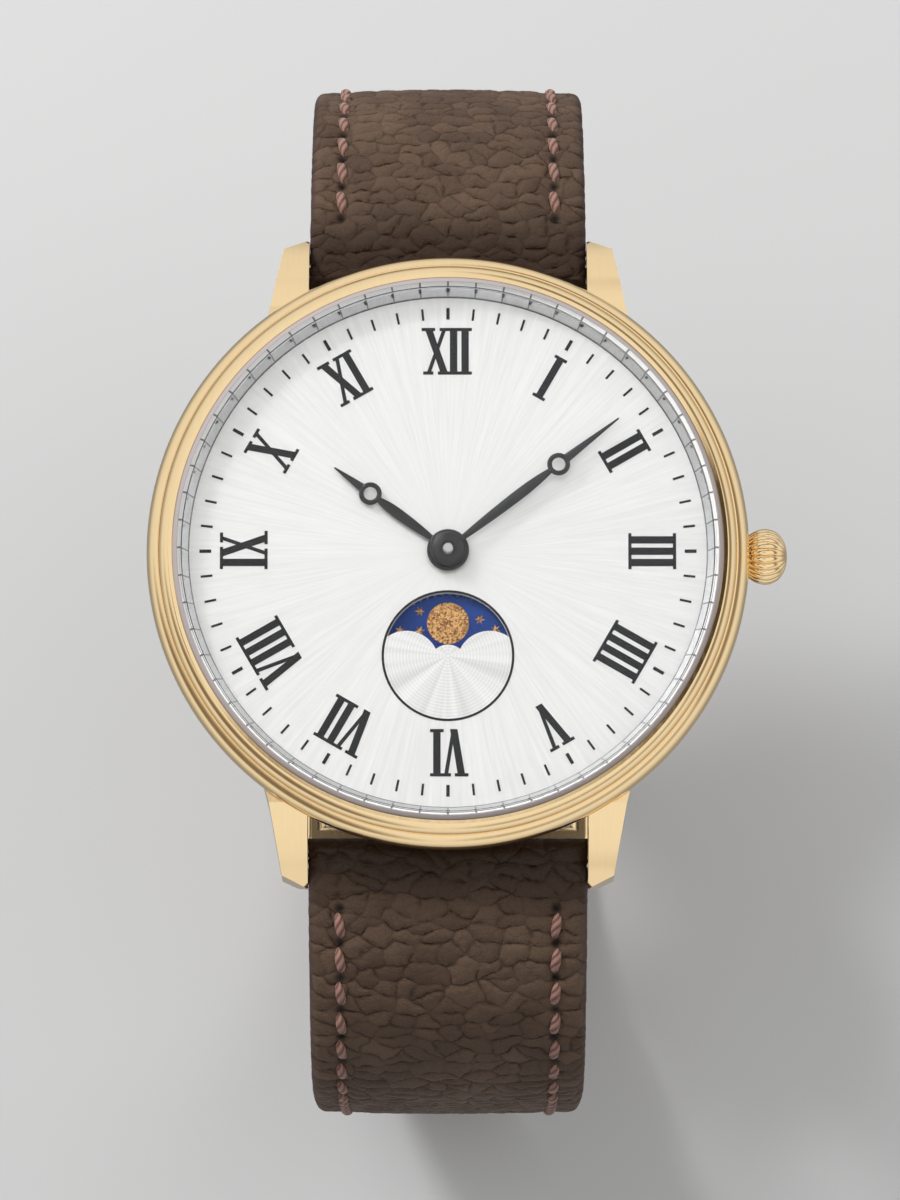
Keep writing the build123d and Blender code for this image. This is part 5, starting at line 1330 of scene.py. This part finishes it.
def welded(mesh):
    """Editable copy of a mesh whose coincident points are joined."""
    shape = bmesh.new()
    shape.from_mesh(mesh)
    bmesh.ops.remove_doubles(shape, verts=shape.verts, dist=WELD_GAP)
    return shape


def make_fuller_print(name, node, spread):
    """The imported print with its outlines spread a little, as ink does."""
    shape = welded(nodes[node].data)
    bmesh.ops.recalc_face_normals(shape, faces=shape.faces)
    moves = []
    for corner in shape.verts:
        walls = []
        for face in corner.link_faces:
            known = any(face.normal.dot(wall) > SAME_WALL for wall in walls)
            if abs(face.normal.z) < UPRIGHT and not known:
                walls.append(face.normal.copy())
        out = sum(walls, Vector())
        if out.length > 1e-6:
            out.normalize()
            moves.append((corner, out * spread * MM / max(min(out.dot(wall) for wall in walls), 0.5)))
    for corner, move in moves:
        corner.co += Vector((move.x, move.y, 0))
    mesh = bpy.data.meshes.new(name)
    shape.to_mesh(mesh)
    shape.free()
    mesh.materials.append(finishes["print_black"])
    hand_over(add_object(name, mesh), "case", node)


# ---------------------------------------------------------------- stars

STAR_R, STAR_WAIST, STAR_CORNERS, STAR_PEAK = 0.345, 0.36, 6, 0.02


def islands_of(mesh):
    """Places in millimetres of each separate shell of a mesh, in a fixed order."""
    shape = welded(mesh)
    left, shells = set(shape.verts), []
    while left:
        front = [left.pop()]
        shell = list(front)
        while front:
            for edge in front.pop().link_edges:
                for corner in edge.verts:
                    if corner in left:
                        left.remove(corner)
                        front.append(corner)
                        shell.append(corner)
        shells.append(np.array(sorted(corner.co[:] for corner in shell)) / MM)
    shape.free()
    return sorted(shells, key=lambda shell: tuple(shell.mean(0).round(2)))


def make_stars():
    """Crisp six-pointed stars, where the moon disc carries them."""
    points, faces = [], []
    for shell in islands_of(nodes["stars"].data):
        (cx, cy, _), low, high = shell.mean(0), shell[:, 2].min(), shell[:, 2].max()
        far = shell[np.hypot(shell[:, 0] - cx, shell[:, 1] - cy).argmax()]
        start = math.atan2(far[1] - cy, far[0] - cx)
        first, corners = len(points), 2 * STAR_CORNERS
        for height in (low, high):
            for k in range(corners):
                r = STAR_R * (STAR_WAIST if k % 2 else 1)
                a = start + math.pi * k / STAR_CORNERS
                points.append((cx + r * math.cos(a), cy + r * math.sin(a), height))
        points += [(cx, cy, low), (cx, cy, high + STAR_PEAK)]
        for k in range(corners):
            after = (k + 1) % corners
            a, b, c, d = first + k, first + after, first + corners + after, first + corners + k
            faces += [(a, b, c, d), (first + 2 * corners, b, a), (first + 2 * corners + 1, d, c)]
    piece = new_piece("moon_stars", points, faces, "moon_gold", smooth=False)
    outward_shells(piece)
    hand_over(piece, "moon_disc", "stars")


# ---------------------------------------------------------------- crown

STEM_HEIGHT = 3.6
CROWN_RIBS = 22
CROWN_TURNS = CROWN_RIBS * 12
CROWN_START, CROWN_WIDEST_AT, CROWN_TIP = 19.2, 20.42, 21.82
CROWN_R, CROWN_FOOT_R, GROOVE_DEPTH = 1.80, 1.27, 0.15
TUBE_BORE_R, TUBE_BORE_END, STEM_BORE_R, STEM_BORE_END = 0.95, 20.65, 0.52, 21.17


def make_crown_ribs():
    """Round ribs with narrow grooves between, cut into a blank turned about the stem's axis."""
    tree, entry = new_group("crown_ribs", "GeometryNodeTree",
                            {"Blank": GEOMETRY, "Ribs": float(CROWN_RIBS), "Groove Depth": GROOVE_DEPTH,
                             "Axis Height": STEM_HEIGHT, "Finish": FINISH})
    _, north, height = parts(put(tree, "GeometryNodeInputPosition")[0])
    up = height - entry["Axis Height"] * MM
    phase = maths("ARCTAN2", north, up) / math.tau * entry["Ribs"]
    away = maths("ABSOLUTE", phase - maths("ROUND", phase)) * 2.0
    rib = maths("SQRT", maths("MAXIMUM", 1.0 - maths("POWER", away, 2.0), 0.0))
    cut_in = (1.0 - rib) * entry["Groove Depth"] * carried_by_mesh(tree, "groove", "FLOAT")
    outward = vectors("NORMALIZE", joined(y=north, z=up))
    return leave_shape(tree, moved_by(tree, entry["Blank"], outward, cut_in * -MM), entry["Finish"])


def make_crown():
    """Onion crown: ribs that start at the case and meet round the tip."""
    inner = [(0, STEM_BORE_END), (STEM_BORE_R, STEM_BORE_END), (STEM_BORE_R, TUBE_BORE_END),
             (TUBE_BORE_R, TUBE_BORE_END), (TUBE_BORE_R, CROWN_START), (CROWN_FOOT_R - 0.08, CROWN_START)]
    outer, grooves = [], []
    foot = CROWN_START + 0.05
    for share in np.linspace(0, 1, 9):
        x = foot + (CROWN_WIDEST_AT - CROWN_START - 0.05) * share
        outer.append((CROWN_FOOT_R + (CROWN_R - CROWN_FOOT_R) * math.sin(share * math.pi / 2) ** 0.8, x))
        grooves.append(1.0)
    reach = CROWN_TIP - CROWN_WIDEST_AT
    for turn in np.linspace(0, math.pi / 2, 17)[1:-1]:
        outer.append((CROWN_R * math.cos(turn) ** 0.9, CROWN_WIDEST_AT + reach * math.sin(turn)))
        grooves.append(min(1.0, math.cos(turn) * 2.2))
    profile = inner + outer + [(0, CROWN_TIP)]
    piece = lathe("crown_onion", profile, "gold", CROWN_TURNS)
    fades = [0.0] * (len(inner) - 1) + grooves
    set_field(piece.data, "groove", fades * CROWN_TURNS + [0.0, 0.0])
    places = places_of(piece.data)
    laid = np.stack([places[:, 2], places[:, 1], places[:, 0] + STEM_HEIGHT], -1) * MM
    piece.data.vertices.foreach_set("co", laid.astype(np.float32).ravel())
    run_tree(piece, make_crown_ribs(), {"Finish": finishes["gold"]})
    outward_shells(piece)
    hand_over(piece, "crown", "crown", sharp=55)


# ---------------------------------------------------------------- hands

HAND_T = 0.12
EYE_R, EYE_HOLE_R = 0.735, 0.43
LEAF_HALF, NECK_HALF = 0.345, 0.15
TIP_BASE_HALF, TIP_HALF = 0.29, 0.05
EYE_TURNS, HUB_TURNS = 48, 64
LEAF_STATIONS, TIP_STATIONS = 26, 14
EYE_OVERLAP = 0.1
FLANK_RISE, RIDGE_RISE = 0.06, 0.06


def bar_section(half, low, high, ridge):
    """Section of a hand: flat below, low flanks and a ridge along the middle."""
    flank = low + (high - low) * 0.42
    return [(-half, low), (half, low), (half, flank), (half * 0.62, flank + (ridge - flank) * 0.55),
            (half * 0.18, ridge), (-half * 0.18, ridge), (-half * 0.62, flank + (ridge - flank) * 0.55),
            (-half, flank)]


def hand_bar(stations, halves, low):
    """Points of a hand's leaf or tip, with a ridge that sinks where it narrows."""
    points = []
    for along, half in zip(stations, halves):
        ridge = low + FLANK_RISE + RIDGE_RISE * half / LEAF_HALF
        points += [(x, along, z) for x, z in bar_section(half, low, low + HAND_T, ridge)]
    return points, tube_faces, len(stations), 8


def leaf_halves(start, end):
    """Leaf's half widths: two arcs that meet two thirds of the way along."""
    stations = np.linspace(start, end, LEAF_STATIONS)
    middle = start + (end - start) * 2 / 3
    before = np.clip((middle - stations) / (middle - start), 0, 1)
    after = np.clip((stations - middle) / (end - middle), 0, 1)
    away = np.where(stations < middle, before, after)
    return stations, NECK_HALF + (LEAF_HALF - NECK_HALF) * (1 - away ** 2)


def make_hand(name, node, body, angle, length, eye, hub_r, low, hub):
    """A leaf with a ring before its pointed tip, and its hub."""
    high = low + HAND_T
    leaf_stations, leaf_widths = leaf_halves(hub_r - 2 * NECK_HALF, eye - EYE_HOLE_R - EYE_OVERLAP)
    tip_stations = np.linspace(eye + EYE_HOLE_R + EYE_OVERLAP, length, TIP_STATIONS)
    tip_widths = np.interp(tip_stations, [tip_stations[0], length], [TIP_BASE_HALF, TIP_HALF])
    rim = [(EYE_HOLE_R, low), (EYE_R, low), (EYE_R, low + 0.06), (EYE_R - 0.05, low + 0.1),
           (EYE_R - 0.12, high), (EYE_HOLE_R + 0.07, high), (EYE_HOLE_R + 0.02, high - 0.03),
           (EYE_HOLE_R, high - 0.05)]
    hub = [(r, low + rise) for r, rise in hub]
    points, faces = [], []
    for some, method, rows, columns in (
        hand_bar(leaf_stations, leaf_widths, low), hand_bar(tip_stations, tip_widths, low),
        (spun(rim, EYE_TURNS, eye), loop_faces, EYE_TURNS, len(rim)),
        (spun(hub, HUB_TURNS), loop_faces, HUB_TURNS, len(hub)),
    ):
        faces += method(rows, columns, len(points))
        points += some
    turn = -math.radians(angle)
    x, y, z = np.array(points).T
    piece = new_piece(name, np.stack([x * math.cos(turn) - y * math.sin(turn),
                                      x * math.sin(turn) + y * math.cos(turn), z], -1), faces, "hand_black")
    outward_shells(piece)
    hand_over(piece, body, node, sharp=38)


# Radius and height of each hub's corners
MINUTE_HUB = ((0.335, HAND_T), (0.735, HAND_T), (0.735, 0), (1.1, 0), (1.1, 0.22), (1.06, 0.28),
              (0.9, 0.34), (0.62, 0.385), (0.45, 0.36), (0.405, 0.33), (0.4, 0.14))
HOUR_HUB = ((0.95, 0), (1.35, 0), (1.35, 0.07), (1.3, 0.11), (1.22, HAND_T), (0.95, HAND_T))
make_crystal()
make_crystal_gasket()
make_bezel()
make_fuller_print("numeral_print", "dial_numerals", NUMERAL_SPREAD)
make_fuller_print("track_print", "minute_track", TRACK_SPREAD)
make_stars()
make_crown()
make_hand("minute_leaf", "minute_hand", "minute_works",
          angle=52.1, length=13.9, eye=9.0, hub_r=1.1, low=6.2, hub=MINUTE_HUB)
make_hand("hour_leaf", "hour_hand", "hour_works",
          angle=306.4, length=9.06, eye=6.19, hub_r=1.35, low=5.85, hub=HOUR_HUB)

# ---------------------------------------------------------------- stage

FLOOR_GAP, FLOOR_REACH = 0.4, 2500.0
FLOOR_COLOUR = 0.79


def make_floor():
    """Plain pale floor under the strap; metal doesn't mirror it."""
    finish = Finish("floor", Roughness=0.9, Specular_IOR_Level=0.1)
    drift = noise(finish.place, 0.004, 2.0)[0]
    finish.colour(drift, grey(FLOOR_COLOUR - 0.01), grey(FLOOR_COLOUR + 0.01))
    level = cad_box[0][2] / MM - FLOOR_GAP
    r = FLOOR_REACH
    corners = [(-r, -r, level), (r, -r, level), (r, r, level), (-r, r, level)]
    floor = new_piece("floor", corners, [(0, 1, 2, 3)], "floor", smooth=False)
    floor.visible_glossy = False


# Direction in degrees, edges of the share towards it, of its low side and of its high side, and darkness
PANELS = (
    (122, (0.14, 0.36), (0.70, 0.75), (0.84, 0.88), 0.93),
    (218, (0.60, 0.85), (0.05, 0.30), (0.62, 0.86), 0.74),
    (30, (0.42, 0.62), (0.30, 0.44), (0.56, 0.70), 0.70),
    (330, (0.42, 0.62), (0.20, 0.34), (0.44, 0.62), 0.40),
)
# Spans of height, of the share to the right or of the share north, and the values at their two ends
PALE_BY_HEIGHT, BELOW_HORIZON = (-0.1, 0.95, 0.86, 0.95), (-0.7, 0.0, 0.4, 1.0)
OVERHEAD, LEFT_OVERHEAD, NORTH_OVERHEAD = (0.9, 0.965), (-0.03, 0.03, 0.3, 0.0), (0.14, 0.22, 1.0, 0.35)
LIT_BY_HEIGHT, LIT_BY_NORTH = (-0.2, 0.9, 0.46, 0.60), (-0.8, 0.6, 0.38, 1.15)
PANEL_COLOUR = (1.0, 0.80, 0.58, 1)


def make_world():
    """Pale surroundings for the eye and for metal, with dim warm panels that show a polished ring's shape.

    What they light is dimmer, and brighter from 12 o'clock than from 6.
    """
    world = bpy.data.worlds.new("studio")
    world.use_nodes = True
    tree = world.node_tree
    tree.nodes.clear()
    sideways, north, rise = parts(put(tree, "ShaderNodeTexCoord")["Generated"])
    path = put(tree, "ShaderNodeLightPath")
    shown = maths("MAXIMUM", path["Is Camera Ray"],
                  maths("MAXIMUM", path["Is Glossy Ray"], path["Is Transmission Ray"]))
    dim = 0.0
    for direction, edge, low, high, depth in PANELS:
        turn = math.radians(direction)
        towards = sideways * math.cos(turn) + north * math.sin(turn)
        patch = eased(towards, *edge) * (eased(rise, *low) * eased(rise, *high, depth, 0.0))
        dim = maths("MAXIMUM", dim, patch)
    overhead = eased(rise, *OVERHEAD) * eased(sideways, *LEFT_OVERHEAD)
    dim = maths("MAXIMUM", dim, overhead * eased(north, *NORTH_OVERHEAD))
    pale = eased(rise, *PALE_BY_HEIGHT) * eased(rise, *BELOW_HORIZON)
    lit = eased(rise, *LIT_BY_HEIGHT) * eased(north, *LIT_BY_NORTH)
    strength = pale * (1.0 - dim) * shown + lit * (1.0 - shown)
    warm = mixed(dim * shown, grey(1.0), PANEL_COLOUR)
    back = put(tree, "ShaderNodeBackground", {"Color": warm, "Strength": strength})
    put(tree, "ShaderNodeOutputWorld", {0: back[0]})
    bpy.context.scene.world = world


def add_lamp(name, place, size, power):
    """Square soft light that faces the dial, and leaves no glare on metal."""
    data = bpy.data.lights.new(name, "AREA")
    data.shape, data.size, data.energy = "SQUARE", size, power
    lamp = add_object(name, data)
    lamp.location = place
    lamp.rotation_euler = (-Vector(place)).to_track_quat("-Z", "Y").to_euler()
    lamp.visible_glossy = False


make_floor()
make_world()
add_lamp("key", (-0.26, 0.26, 0.38), size=0.42, power=0.64)
add_lamp("relief", (-0.30, 0.30, 0.30), size=0.09, power=1.12)
add_lamp("fill", (0.36, 0.10, 0.34), size=0.36, power=0.25)

bpy.context.scene.view_settings.view_transform = "Standard"
